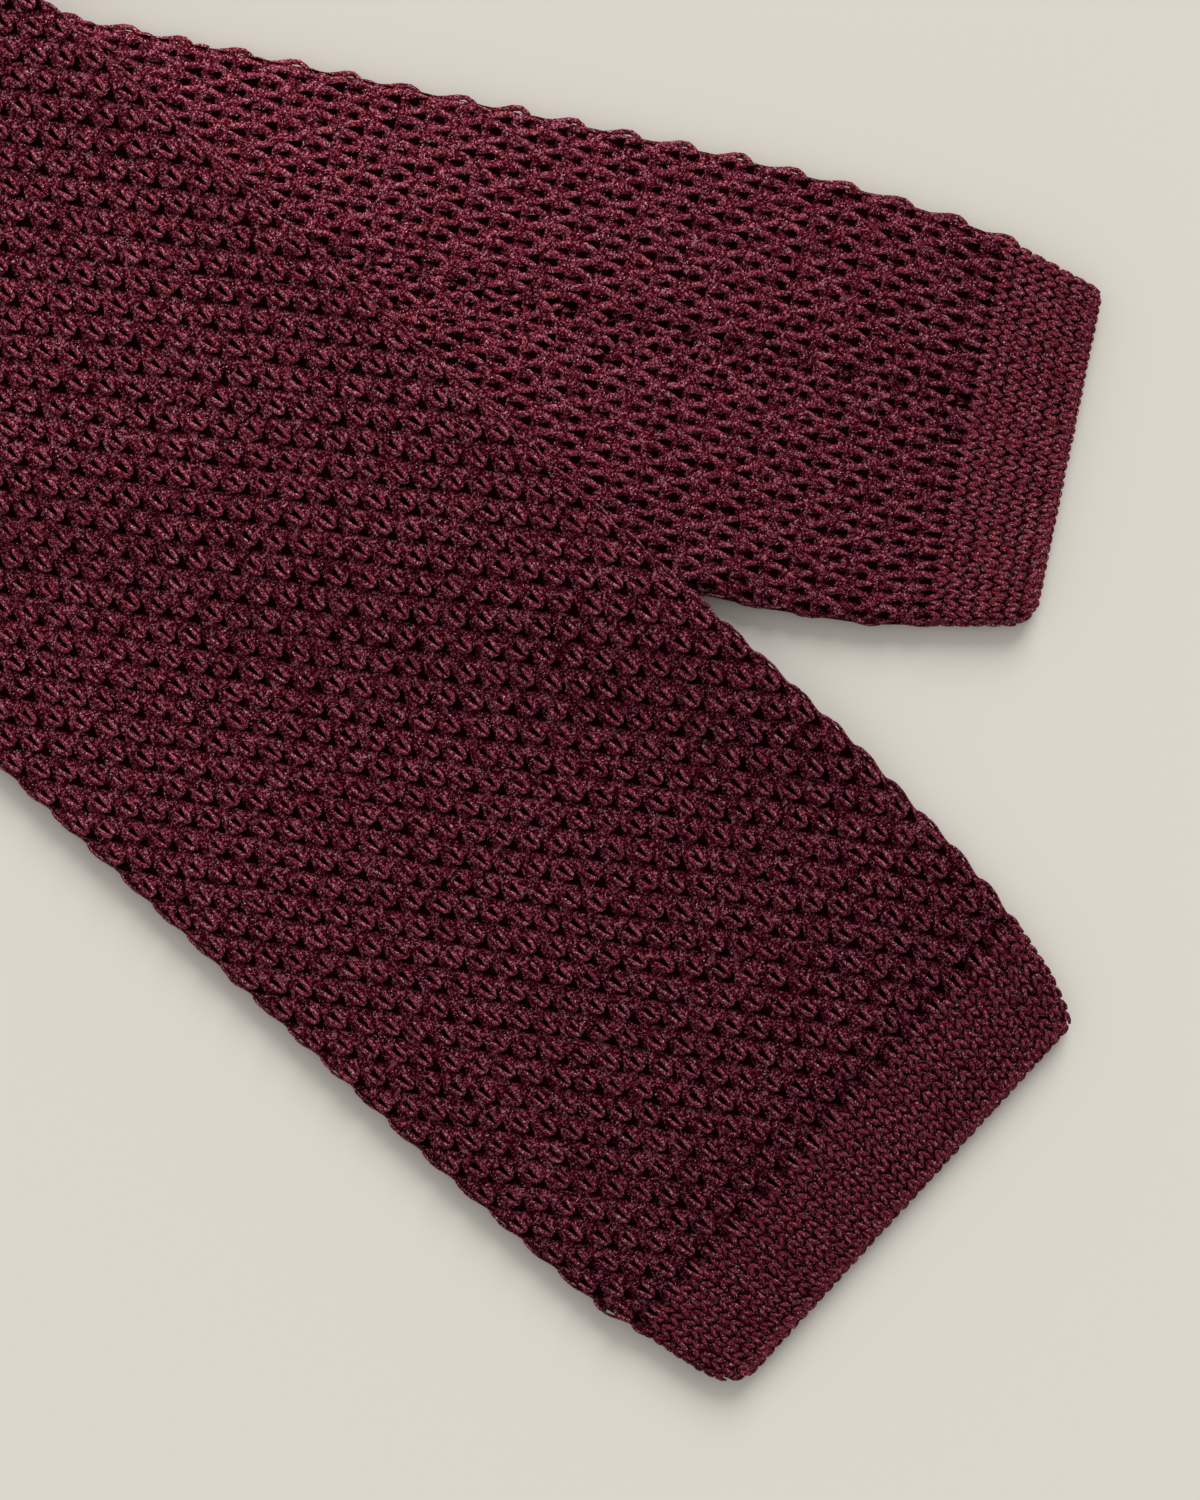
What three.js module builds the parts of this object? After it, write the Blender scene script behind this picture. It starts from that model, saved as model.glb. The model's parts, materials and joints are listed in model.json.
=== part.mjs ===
// A knit tie with square ends, lying flat as when it is put down: folded once at the neck, the wide
// front blade on top with its face up, the narrower tail beneath it with its back up.
// The tie is one long strip, folded into a flat sleeve and closed by a seam along the centre of its back.
// Millimetres, +Z up. The front blade runs along Y with its square end towards -Y.
// The origin is at the middle of the laid tie's underside.

import * as THREE from 'three';

// Cloth
const WALL = 1.3; // one layer of the knitted cloth
const SLIT = 0.6; // room between the two layers of the sleeve
const GAP = 0.3; // clearance between neighbouring pieces

// Widths across the laid sleeve
const BLADE_WIDTH = 65.6;
const TAIL_WIDTH = 48;
const NECK_WIDTH = 32;

// Lengths along the tie
const FRONT_LEG = 740; // front end to the neck fold
const FRONT_BLADE = 460; // front end to where the neck begins
const TAIL_BLADE = 300; // tail end to where the neck begins
const FRONT_BAND = 11; // depth of the plain band at the front end
const TAIL_BAND = 10.8; // depth of the plain band at the tail end
const FRONT_FLARE = 38; // stretch over which the front end opens to the full width
const TAIL_FLARE = 41; // the same for the tail

// Corners of the two square ends: left and right seen from above, with the end towards the viewer
const FRONT_CORNER_LEFT = 3;
const FRONT_CORNER_RIGHT = 1.2;
const TAIL_CORNER_LEFT = 2.4;
const TAIL_CORNER_RIGHT = 1.2;
const TAIL_SKEW = 1.4; // degrees by which the tail's end is out of square

// How the two halves lie
const FRONT_TO_CROSSING = 168.8; // front end to the point where the centrelines cross
const TAIL_TO_CROSSING = 145.8; // tail end to the same point
const CROSSING_ANGLE = 29.5; // degrees between the two halves there
const RETURN_ANGLE = 6; // degrees at which the tail comes back under the front half
const DRAPE_MARGIN = 3; // how far past the tail's edge the upper half still lies level
const DRAPE_RUN = 18; // how far it then takes to reach the surface below
const FOLD_RADIUS = 3.4; // middle of the cloth at the neck fold
const FOLD_RUN = 40; // stretch over which the upper half rises to the fold

// Seam along the centre of the back
const SEAM_WIDTH = 3.8;
const SEAM_OFFSET = 1.4; // its distance from the centreline

// Outline of the front end: shares of the flare's length and of half the blade's width
const FRONT_EDGE = [
  { at: 0, left: 0.84, right: 0.834 },
  { at: 0.08, left: 0.866, right: 0.878 },
  { at: 0.15, left: 0.885, right: 0.912 },
  { at: 0.27, left: 0.906, right: 0.945 },
  { at: 0.42, left: 0.944, right: 0.977 },
  { at: 0.58, left: 0.954, right: 0.998 },
  { at: 1, left: 0.967, right: 1.03 },
];

// Outline of the tail's end, in the same way
const TAIL_EDGE = [
  { at: 0, left: 0.79, right: 0.79 },
  { at: 0.11, left: 0.84, right: 0.84 },
  { at: 0.26, left: 0.896, right: 0.912 },
  { at: 0.41, left: 0.955, right: 0.95 },
  { at: 0.65, left: 0.992, right: 0.984 },
  { at: 1, left: 1, right: 1 },
];

// How each half narrows to the neck: shares of its length from the end and of the width it loses
const FRONT_TAPER = [
  { at: 0, wide: 1 },
  { at: 0.4, wide: 1 },
  { at: 0.64, wide: 0.7 },
  { at: 0.85, wide: 0.24 },
  { at: 1, wide: 0 },
];
const TAIL_TAPER = [
  { at: 0, wide: 1 },
  { at: 0.14, wide: 1 },
  { at: 0.36, wide: 0.84 },
  { at: 0.55, wide: 0.62 },
  { at: 0.8, wide: 0.2 },
  { at: 1, wide: 0 },
];

// Rounded brim of a closed end: shares of one wall and of half the sleeve's thickness
const BRIM = [
  { at: 0, thick: 0.5 },
  { at: 0.35, thick: 0.84 },
  { at: 1, thick: 1 },
];

// How finely each piece is cut: spacing of its sections and columns of points across one face
const MESHING = {
  band: { step: 3, columns: 10 },
  front: { step: 11, narrowing: 18, columns: 10 },
  neck: { step: 20, columns: 6 },
  tail: { step: 16, columns: 8 },
};
const FOLD_STEPS = 8;
const EDGE_ANGLES = [Math.PI / 3, (2 * Math.PI) / 3]; // points round the edge of the sleeve

const THICKNESS = 2 * WALL + SLIT;
const SLOT_WIDTH = SEAM_WIDTH + 2 * GAP; // opening in the back layer that the seam fills
const FOLD_LENGTH = Math.PI * FOLD_RADIUS;

const radians = THREE.MathUtils.degToRad;

/** Value of a table's column at a share, straight between its rows and level past them. */
function lookUp(table, share, column) {
  const next = table.findIndex((row) => row.at >= share);
  if (next === 0) return table[0][column];
  if (next < 0) return table[table.length - 1][column];
  const low = table[next - 1];
  const high = table[next];
  return THREE.MathUtils.mapLinear(share, low.at, high.at, low[column], high[column]);
}

/** What a rounded corner takes off the half width at a distance from the end. */
function cornerCut(distance, radius) {
  const rest = Math.max(radius - distance, 0);
  return radius - Math.sqrt(radius * radius - rest * rest);
}

/** Half widths of the front half at a distance from its end. */
function frontHalves(distance) {
  const taper = lookUp(FRONT_TAPER, distance / FRONT_BLADE, 'wide');
  const half = THREE.MathUtils.lerp(NECK_WIDTH, BLADE_WIDTH, taper) / 2;
  const flare = distance / FRONT_FLARE;
  // The two edges even out as the blade narrows
  const left = THREE.MathUtils.lerp(1, lookUp(FRONT_EDGE, flare, 'left'), taper);
  const right = THREE.MathUtils.lerp(1, lookUp(FRONT_EDGE, flare, 'right'), taper);
  return {
    left: half * left - cornerCut(distance, FRONT_CORNER_LEFT),
    right: half * right - cornerCut(distance, FRONT_CORNER_RIGHT),
  };
}

/** Half widths of the tail half at a distance from its end. */
function tailHalves(distance) {
  const taper = lookUp(TAIL_TAPER, distance / TAIL_BLADE, 'wide');
  const half = THREE.MathUtils.lerp(NECK_WIDTH, TAIL_WIDTH, taper) / 2;
  const flare = distance / TAIL_FLARE;
  return {
    left: half * lookUp(TAIL_EDGE, flare, 'left') - cornerCut(distance, TAIL_CORNER_LEFT),
    right: half * lookUp(TAIL_EDGE, flare, 'right') - cornerCut(distance, TAIL_CORNER_RIGHT),
  };
}

/** A stretch of the tail's centreline in plan: straight, or an arc where it turns. */
class PlanStretch {
  constructor(start, heading, length, turn) {
    this.start = start;
    this.heading = heading;
    this.length = length;
    this.curvature = turn / length;
  }

  headingAt(distance) {
    return this.heading + this.curvature * distance;
  }

  pointAt(distance) {
    const middle = this.headingAt(distance / 2);
    const bend = (this.curvature * distance) / 2;
    const chord = distance * (Math.abs(bend) < 1e-9 ? 1 : Math.sin(bend) / bend);
    return new THREE.Vector2(-Math.sin(middle), Math.cos(middle)).multiplyScalar(chord).add(this.start);
  }
}

/** The tail's centreline in plan, from its end back to the neck fold, under the front half. */
class TailLine {
  constructor() {
    const crossing = radians(CROSSING_ANGLE);
    const back = radians(RETURN_ANGLE);
    const toFold = FRONT_LEG - FRONT_TO_CROSSING;
    // The tail bends away from the crossing and comes back, so that it meets the fold square
    const straight = (2 * Math.cos(back) - Math.cos(crossing) - 1) / Math.sin(back);
    const reach = Math.sin(crossing) + 2 * Math.sin(back) + straight * Math.cos(back);
    const radius = toFold / reach;
    const away = new THREE.Vector2(Math.sin(crossing), -Math.cos(crossing)).multiplyScalar(TAIL_TO_CROSSING);
    const plan = [
      { length: TAIL_TO_CROSSING, turn: 0 },
      { length: radius * (crossing + back), turn: -crossing - back },
      { length: radius * straight, turn: 0 },
      { length: radius * back, turn: back },
    ];
    let start = away.add(new THREE.Vector2(0, FRONT_TO_CROSSING));
    let heading = crossing;
    this.stretches = [];
    for (const { length, turn } of plan) {
      const stretch = new PlanStretch(start, heading, length, turn);
      this.stretches.push(stretch);
      start = stretch.pointAt(length);
      heading += turn;
    }
    this.length = plan.reduce((sum, { length }) => sum + length, 0);
  }

  /** Point and heading at a distance from the tail's end. */
  at(distance) {
    let rest = distance;
    for (const stretch of this.stretches.slice(0, -1)) {
      if (rest <= stretch.length) return { point: stretch.pointAt(rest), heading: stretch.headingAt(rest) };
      rest -= stretch.length;
    }
    const last = this.stretches[this.stretches.length - 1];
    return { point: last.pointAt(rest), heading: last.headingAt(rest) };
  }
}

const tailLine = new TailLine();
const tieLength = FRONT_LEG + FOLD_LENGTH + tailLine.length;

// Points along the tail's centreline with its half width there, to measure how far off its edge a point lies
const TAIL_SAMPLES = 240;
const tailSamples = Array.from({ length: TAIL_SAMPLES + 1 }, (_, index) => {
  const distance = (tailLine.length * index) / TAIL_SAMPLES;
  const { left, right } = tailHalves(distance);
  return { point: tailLine.at(distance).point, half: Math.max(left, right) };
});

/** Height at which the upper half's underside lies over a point of the plan. */
function lift(x, y) {
  const here = new THREE.Vector2(x, y);
  let outside = Infinity;
  for (const { point, half } of tailSamples) outside = Math.min(outside, here.distanceTo(point) - half);
  const drop = THREE.MathUtils.smoothstep(outside, DRAPE_MARGIN, DRAPE_MARGIN + DRAPE_RUN);
  const rise = THREE.MathUtils.smoothstep(y, FRONT_LEG - FOLD_RUN, FRONT_LEG);
  const over = THICKNESS + GAP;
  return over * (1 - drop) + (2 * FOLD_RADIUS - over) * rise;
}

/** Where the middle of the cloth lies at a length from the front end, and which way it faces. */
function stationAt(length) {
  if (length <= FRONT_LEG) {
    return {
      centre: new THREE.Vector3(0, length, THICKNESS / 2),
      side: new THREE.Vector3(1, 0, 0),
      face: new THREE.Vector3(0, 0, 1),
      skew: new THREE.Vector3(),
      halves: frontHalves(length),
      lifted: true,
    };
  }
  const toTailEnd = tieLength - length;
  if (toTailEnd >= tailLine.length) {
    const turned = (length - FRONT_LEG) / FOLD_RADIUS;
    const face = new THREE.Vector3(0, Math.sin(turned), Math.cos(turned));
    return {
      centre: new THREE.Vector3(0, FRONT_LEG, THICKNESS / 2 + FOLD_RADIUS).addScaledVector(face, FOLD_RADIUS),
      side: new THREE.Vector3(1, 0, 0),
      face,
      skew: new THREE.Vector3(),
      halves: frontHalves(FRONT_LEG),
      lifted: false,
    };
  }
  const { point, heading } = tailLine.at(toTailEnd);
  const skewed = Math.tan(radians(TAIL_SKEW)) * Math.max(0, 1 - toTailEnd / TAIL_FLARE);
  const { left, right } = tailHalves(toTailEnd);
  return {
    centre: new THREE.Vector3(point.x, point.y, THICKNESS / 2),
    side: new THREE.Vector3(Math.cos(heading), Math.sin(heading), 0),
    face: new THREE.Vector3(0, 0, -1),
    skew: new THREE.Vector3(-Math.sin(heading), Math.cos(heading), 0).multiplyScalar(skewed),
    halves: { left, right },
    lifted: false,
  };
}

/** A point of the section at a station: across the tie, and out of the middle of the cloth to its face. */
function place(station, across, out) {
  const point = station.centre.clone();
  point.addScaledVector(station.side, across);
  point.addScaledVector(station.skew, across);
  point.addScaledVector(station.face, out);
  if (station.lifted) point.z += lift(point.x, point.y);
  return point;
}

/** Evenly spaced values from one number to another, both included. */
function spread(from, to, steps) {
  return Array.from({ length: steps + 1 }, (_, index) => THREE.MathUtils.lerp(from, to, index / steps));
}

/** One skin of the sleeve's section, from the seam's right side round the edges to its left side. */
function skin(station, out, columns) {
  const right = station.halves.right - THICKNESS / 2;
  const left = -station.halves.left + THICKNESS / 2;
  const slotRight = SEAM_OFFSET + SLOT_WIDTH / 2;
  const slotLeft = SEAM_OFFSET - SLOT_WIDTH / 2;
  const backSteps = Math.ceil(columns / 2);
  return [
    ...spread(slotRight, right, backSteps).map((across) => [across, -out]),
    ...EDGE_ANGLES.map((angle) => [right + out * Math.sin(angle), -out * Math.cos(angle)]),
    ...spread(right, left, columns).map((across) => [across, out]),
    ...EDGE_ANGLES.map((angle) => [left - out * Math.sin(angle), out * Math.cos(angle)]),
    ...spread(left, slotLeft, backSteps).map((across) => [across, -out]),
  ];
}

/** A closed body built up from loops of points, each with its flat outline for filling its inside. */
class Body {
  constructor() {
    this.points = [];
    this.faces = [];
  }

  /** Adds the points of a section and returns their numbers. */
  add(station, outline) {
    const first = this.points.length;
    for (const [across, out] of outline) this.points.push(place(station, across, out));
    return outline.map((flat, index) => ({ index: first + index, flat }));
  }

  /** Joins two loops of equal size by a band of faces. */
  join(loop, next) {
    loop.forEach((corner, number) => {
      const after = (number + 1) % loop.length;
      this.faces.push([corner.index, next[after].index, loop[after].index]);
      this.faces.push([corner.index, next[number].index, next[after].index]);
    });
  }

  /** Joins each loop to the one after it. */
  joinAll(loops) {
    loops.slice(1).forEach((next, number) => this.join(loops[number], next));
  }

  /** Fills a loop, as the far side of what was built before it or as the near side of what follows. */
  fill(loop, far) {
    const flat = loop.map((corner) => new THREE.Vector2(...corner.flat));
    for (const [a, b, c] of THREE.ShapeUtils.triangulateShape(flat, [])) {
      const face = [loop[a].index, loop[b].index, loop[c].index];
      const along = flat[b].clone().sub(flat[a]);
      const clockwise = along.cross(flat[c].clone().sub(flat[a])) < 0;
      this.faces.push(clockwise === far ? face : face.reverse());
    }
  }

  /** The body as a geometry with its faces outwards. */
  geometry() {
    const geometry = new THREE.BufferGeometry().setFromPoints(this.points);
    const volume = this.faces.reduce((sum, [a, b, c]) => {
      const normal = new THREE.Vector3().crossVectors(this.points[b], this.points[c]);
      return sum + this.points[a].dot(normal);
    }, 0);
    const outwards = volume > 0 ? this.faces : this.faces.map((face) => [...face].reverse());
    geometry.setIndex(outwards.flat());
    geometry.computeVertexNormals();
    return geometry;
  }
}

/** Lengths along the tie from one to another, no further apart than a step. */
function sections(from, to, step) {
  return spread(from, to, Math.ceil(Math.abs(to - from) / step));
}

/** The loop of a section through both layers, with the slot for the seam. */
function openSection(body, length, columns) {
  const station = stationAt(length);
  const outer = skin(station, THICKNESS / 2, columns);
  const inner = skin(station, SLIT / 2, columns);
  return body.add(station, [...outer, ...inner.reverse()]);
}

/** A sleeve open at both ends, through sections at the given lengths. */
function sleeve(lengths, columns) {
  const body = new Body();
  const loops = lengths.map((length) => openSection(body, length, columns));
  body.joinAll(loops);
  body.fill(loops[0], false);
  body.fill(loops[loops.length - 1], true);
  return body.geometry();
}

/** A sleeve closed by one wall at its last length, with a rounded brim there. */
function closedSleeve(lengths, end, columns) {
  const body = new Body();
  const loops = lengths.map((length) => openSection(body, length, columns));
  body.joinAll(loops);
  body.fill(loops[0], false);
  const last = loops[loops.length - 1];
  const outer = last.slice(0, last.length / 2);
  const inner = last.slice(last.length / 2).reverse();
  body.fill([outer[0], ...inner, outer[outer.length - 1]], false);
  const brim = [...BRIM].reverse().slice(1).map(({ at, thick }) => {
    const length = THREE.MathUtils.lerp(end, lengths[lengths.length - 1], at);
    const station = stationAt(length);
    return body.add(station, skin(station, (THICKNESS / 2) * thick, columns));
  });
  body.joinAll([outer, ...brim]);
  body.fill(brim[brim.length - 1], true);
  return body.geometry();
}

/** The strip that fills the slot along the back, through sections at the given lengths. */
function seam(lengths) {
  const body = new Body();
  const loops = lengths.map((length) => {
    const left = SEAM_OFFSET - SEAM_WIDTH / 2;
    const right = SEAM_OFFSET + SEAM_WIDTH / 2;
    const outside = -THICKNESS / 2;
    const inside = -SLIT / 2;
    return body.add(stationAt(length), [[left, outside], [right, outside], [right, inside], [left, inside]]);
  });
  body.joinAll(loops);
  body.fill(loops[0], false);
  body.fill(loops[loops.length - 1], true);
  return body.geometry();
}

// Lengths of the sections of each piece, from the front end to the tail's
const tailLegStart = FRONT_LEG + FOLD_LENGTH;
const frontBandCuts = sections(FRONT_BAND, WALL, MESHING.band.step);
const frontCuts = [
  ...sections(FRONT_BAND + GAP, FRONT_TO_CROSSING, MESHING.front.step),
  ...sections(FRONT_TO_CROSSING, FRONT_BLADE, MESHING.front.narrowing).slice(1),
];
const neckCuts = [
  ...sections(FRONT_BLADE + GAP, FRONT_LEG, MESHING.neck.step),
  ...spread(FRONT_LEG, tailLegStart, FOLD_STEPS).slice(1),
  ...sections(tailLegStart, tieLength - TAIL_BLADE - GAP, MESHING.neck.step).slice(1),
];
const tailCuts = sections(tieLength - TAIL_BLADE, tieLength - TAIL_BAND - GAP, MESHING.tail.step);
const tailBandCuts = sections(tieLength - TAIL_BAND, tieLength - WALL, MESHING.band.step);
const seamCuts = [
  WALL + GAP,
  ...frontBandCuts.slice(0, -1).reverse(),
  ...frontCuts,
  ...neckCuts,
  ...tailCuts,
  ...tailBandCuts.slice(0, -1),
  tieLength - WALL - GAP,
];

const PIECES = [
  {
    name: 'front_blade',
    color: 0x6a1931,
    roughness: 0.72,
    make: () => sleeve(frontCuts, MESHING.front.columns),
  },
  {
    name: 'front_end_band',
    color: 0x571327,
    roughness: 0.66,
    make: () => closedSleeve(frontBandCuts, 0, MESHING.band.columns),
  },
  {
    name: 'neck_band',
    color: 0x6a1931,
    roughness: 0.72,
    make: () => sleeve(neckCuts, MESHING.neck.columns),
  },
  {
    name: 'tail_blade',
    color: 0x7d2139,
    roughness: 0.74,
    make: () => sleeve(tailCuts, MESHING.tail.columns),
  },
  {
    name: 'tail_end_band',
    color: 0x691a30,
    roughness: 0.68,
    make: () => closedSleeve(tailBandCuts, tieLength, MESHING.band.columns),
  },
  {
    name: 'back_seam',
    color: 0x5e152a,
    roughness: 0.78,
    make: () => seam(seamCuts),
  },
];

const tie = new THREE.Group();
tie.name = 'knit_tie';
for (const { name, color, roughness, make } of PIECES) {
  const material = new THREE.MeshStandardMaterial({ color, roughness, metalness: 0 });
  const mesh = new THREE.Mesh(make(), material);
  mesh.name = name;
  tie.add(mesh);
}

// Puts the origin at the middle of the underside
const box = new THREE.Box3().setFromObject(tie);
const middle = box.getCenter(new THREE.Vector3());
tie.position.set(-middle.x, -middle.y, -box.min.z);
tie.updateMatrixWorld(true);

export default tie;
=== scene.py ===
"""Looks of a knit tie with square ends, lying flat with its wide front blade over its narrow tail.

The tie's cloth is a flat sleeve. Each stretch of it gets a dark ground cloth in the place of the solid
model, darkened partly as painted shade, and on it the raised yarn: open stitches on the blades and the
neck, plain knit on the end bands and a line of sewn stitches along the centre of the back.
Tables and sizes are in millimetres, meshes in metres.
"""

from __future__ import annotations

import json
import logging
import math
from dataclasses import dataclass, field
from enum import Enum
from typing import NamedTuple, Sequence, Union

import bpy
import numpy as np
from mathutils import Matrix, Vector

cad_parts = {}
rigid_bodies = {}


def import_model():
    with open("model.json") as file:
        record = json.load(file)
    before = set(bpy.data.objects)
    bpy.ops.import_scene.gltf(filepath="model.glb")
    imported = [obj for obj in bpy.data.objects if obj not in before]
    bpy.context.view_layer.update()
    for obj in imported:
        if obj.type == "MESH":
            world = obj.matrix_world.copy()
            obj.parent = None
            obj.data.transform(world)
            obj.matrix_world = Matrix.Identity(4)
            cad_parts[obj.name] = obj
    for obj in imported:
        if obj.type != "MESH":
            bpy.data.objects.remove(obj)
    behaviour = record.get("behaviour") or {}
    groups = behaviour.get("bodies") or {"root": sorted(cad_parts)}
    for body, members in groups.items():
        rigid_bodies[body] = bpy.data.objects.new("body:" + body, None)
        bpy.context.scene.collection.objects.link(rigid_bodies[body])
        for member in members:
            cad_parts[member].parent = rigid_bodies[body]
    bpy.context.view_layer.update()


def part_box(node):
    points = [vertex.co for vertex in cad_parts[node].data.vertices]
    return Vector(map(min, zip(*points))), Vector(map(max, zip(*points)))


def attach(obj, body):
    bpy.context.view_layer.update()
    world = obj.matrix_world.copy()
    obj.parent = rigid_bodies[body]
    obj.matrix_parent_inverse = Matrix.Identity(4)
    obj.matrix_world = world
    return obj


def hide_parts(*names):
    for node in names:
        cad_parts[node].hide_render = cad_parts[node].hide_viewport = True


LOG = logging.getLogger("knit_tie")
MM = 0.001
BODY = "root"
FRONT_SLOT = "crunchy_knit_front"
BACK_SLOT = "crunchy_knit_back"
BAND_SLOT = "plain_knit"
SEAM_SLOT = "seam_knit"

Array = np.ndarray
Colour = tuple[float, float, float]
Point = tuple[float, float, float]


class EdgeRow(NamedTuple):
    """Outline of an end: a share of the flare's length, and shares of half the width."""

    at: float
    left: float
    right: float


class TaperRow(NamedTuple):
    """A share of a half's length from its end, and of the width that it loses on the way."""

    at: float
    wide: float


class BrimRow(NamedTuple):
    """Rounding of a closed end: shares of one wall and of half the sleeve's thickness."""

    at: float
    thick: float


FRONT_EDGE = (
    EdgeRow(0.00, 0.840, 0.834),
    EdgeRow(0.08, 0.866, 0.878),
    EdgeRow(0.15, 0.885, 0.912),
    EdgeRow(0.27, 0.906, 0.945),
    EdgeRow(0.42, 0.944, 0.977),
    EdgeRow(0.58, 0.954, 0.998),
    EdgeRow(1.00, 0.967, 1.030),
)
TAIL_EDGE = (
    EdgeRow(0.00, 0.790, 0.790),
    EdgeRow(0.11, 0.840, 0.840),
    EdgeRow(0.26, 0.896, 0.912),
    EdgeRow(0.41, 0.955, 0.950),
    EdgeRow(0.65, 0.992, 0.984),
    EdgeRow(1.00, 1.000, 1.000),
)
FRONT_TAPER = (
    TaperRow(0.00, 1.00),
    TaperRow(0.40, 1.00),
    TaperRow(0.64, 0.70),
    TaperRow(0.85, 0.24),
    TaperRow(1.00, 0.00),
)
TAIL_TAPER = (
    TaperRow(0.00, 1.00),
    TaperRow(0.14, 1.00),
    TaperRow(0.36, 0.84),
    TaperRow(0.55, 0.62),
    TaperRow(0.80, 0.20),
    TaperRow(1.00, 0.00),
)
BRIM = (BrimRow(0.00, 0.50), BrimRow(0.35, 0.84), BrimRow(1.00, 1.00))


@dataclass(frozen=True)
class TieSizes:
    """Sizes of the laid tie in millimetres and degrees, the same as the solid model's."""

    wall: float = 1.3
    slit: float = 0.6
    gap: float = 0.3
    blade_width: float = 65.6
    tail_width: float = 48.0
    neck_width: float = 32.0
    front_leg: float = 740.0
    front_blade: float = 460.0
    tail_blade: float = 300.0
    front_band: float = 11.0
    tail_band: float = 10.8
    front_flare: float = 38.0
    tail_flare: float = 41.0
    front_corners: tuple[float, float] = (3.0, 1.2)
    tail_corners: tuple[float, float] = (2.4, 1.2)
    tail_skew: float = 1.4
    front_to_crossing: float = 168.8
    tail_to_crossing: float = 145.8
    crossing_angle: float = 29.5
    return_angle: float = 6.0
    drape_margin: float = 3.0
    drape_run: float = 18.0
    fold_radius: float = 3.4
    fold_run: float = 40.0
    seam_width: float = 3.8
    seam_offset: float = 1.4

    @property
    def thickness(self) -> float:
        """Both walls and the room between them."""
        return 2 * self.wall + self.slit

    @property
    def slot_width(self) -> float:
        """Opening in the back layer that the seam fills."""
        return self.seam_width + 2 * self.gap

    @property
    def fold_length(self) -> float:
        """Cloth that goes round the neck fold."""
        return math.pi * self.fold_radius


def look_up(table: Sequence[NamedTuple], share: Array, column: str) -> Array:
    """Values of a table's column, straight between its rows and level past them.

    Args:
        table: Rows with an `at` column.
        share: Where to read it.
        column: Name of the column.

    Returns:
        One value for each share.
    """
    return np.interp(share, [row.at for row in table], [getattr(row, column) for row in table])


def blend(low: Array | float, high: Array | float, share: Array | float) -> Array:
    """Straight mix of two values."""
    return low + (high - low) * share


def smoothstep(value: Array, low: float, high: float) -> Array:
    """Smooth rise from 0 at the low value to 1 at the high one."""
    share = np.clip((value - low) / (high - low), 0, 1)
    return share * share * (3 - 2 * share)


def stage_piece(name: str, data: bpy.types.ID) -> bpy.types.Object:
    """Makes an object of a mesh, a light or a camera, and links it to the scene."""
    thing = bpy.data.objects.new(name, data)
    bpy.context.scene.collection.objects.link(thing)
    return thing


def corner_cut(distance: Array, radius: float) -> Array:
    """What a rounded corner takes off the half width at a distance from the end."""
    rest = np.clip(radius - distance, 0, radius)
    return radius - np.sqrt(radius * radius - rest * rest)


class PlanStretch(NamedTuple):
    """A stretch of the tail's centreline in plan: straight, or an arc where it turns."""

    begins: float
    x: float
    y: float
    heading: float
    length: float
    curvature: float

    def point(self, distance: Array) -> tuple[Array, Array, Array]:
        """Plan position and heading at distances from where the stretch begins.

        Args:
            distance: Distances along the stretch.

        Returns:
            x, y and heading.
        """
        middle = self.heading + self.curvature * distance / 2
        chord = distance * np.sinc(self.curvature * distance / 2 / math.pi)
        heading = self.heading + self.curvature * distance
        return self.x - np.sin(middle) * chord, self.y + np.cos(middle) * chord, heading


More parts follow.
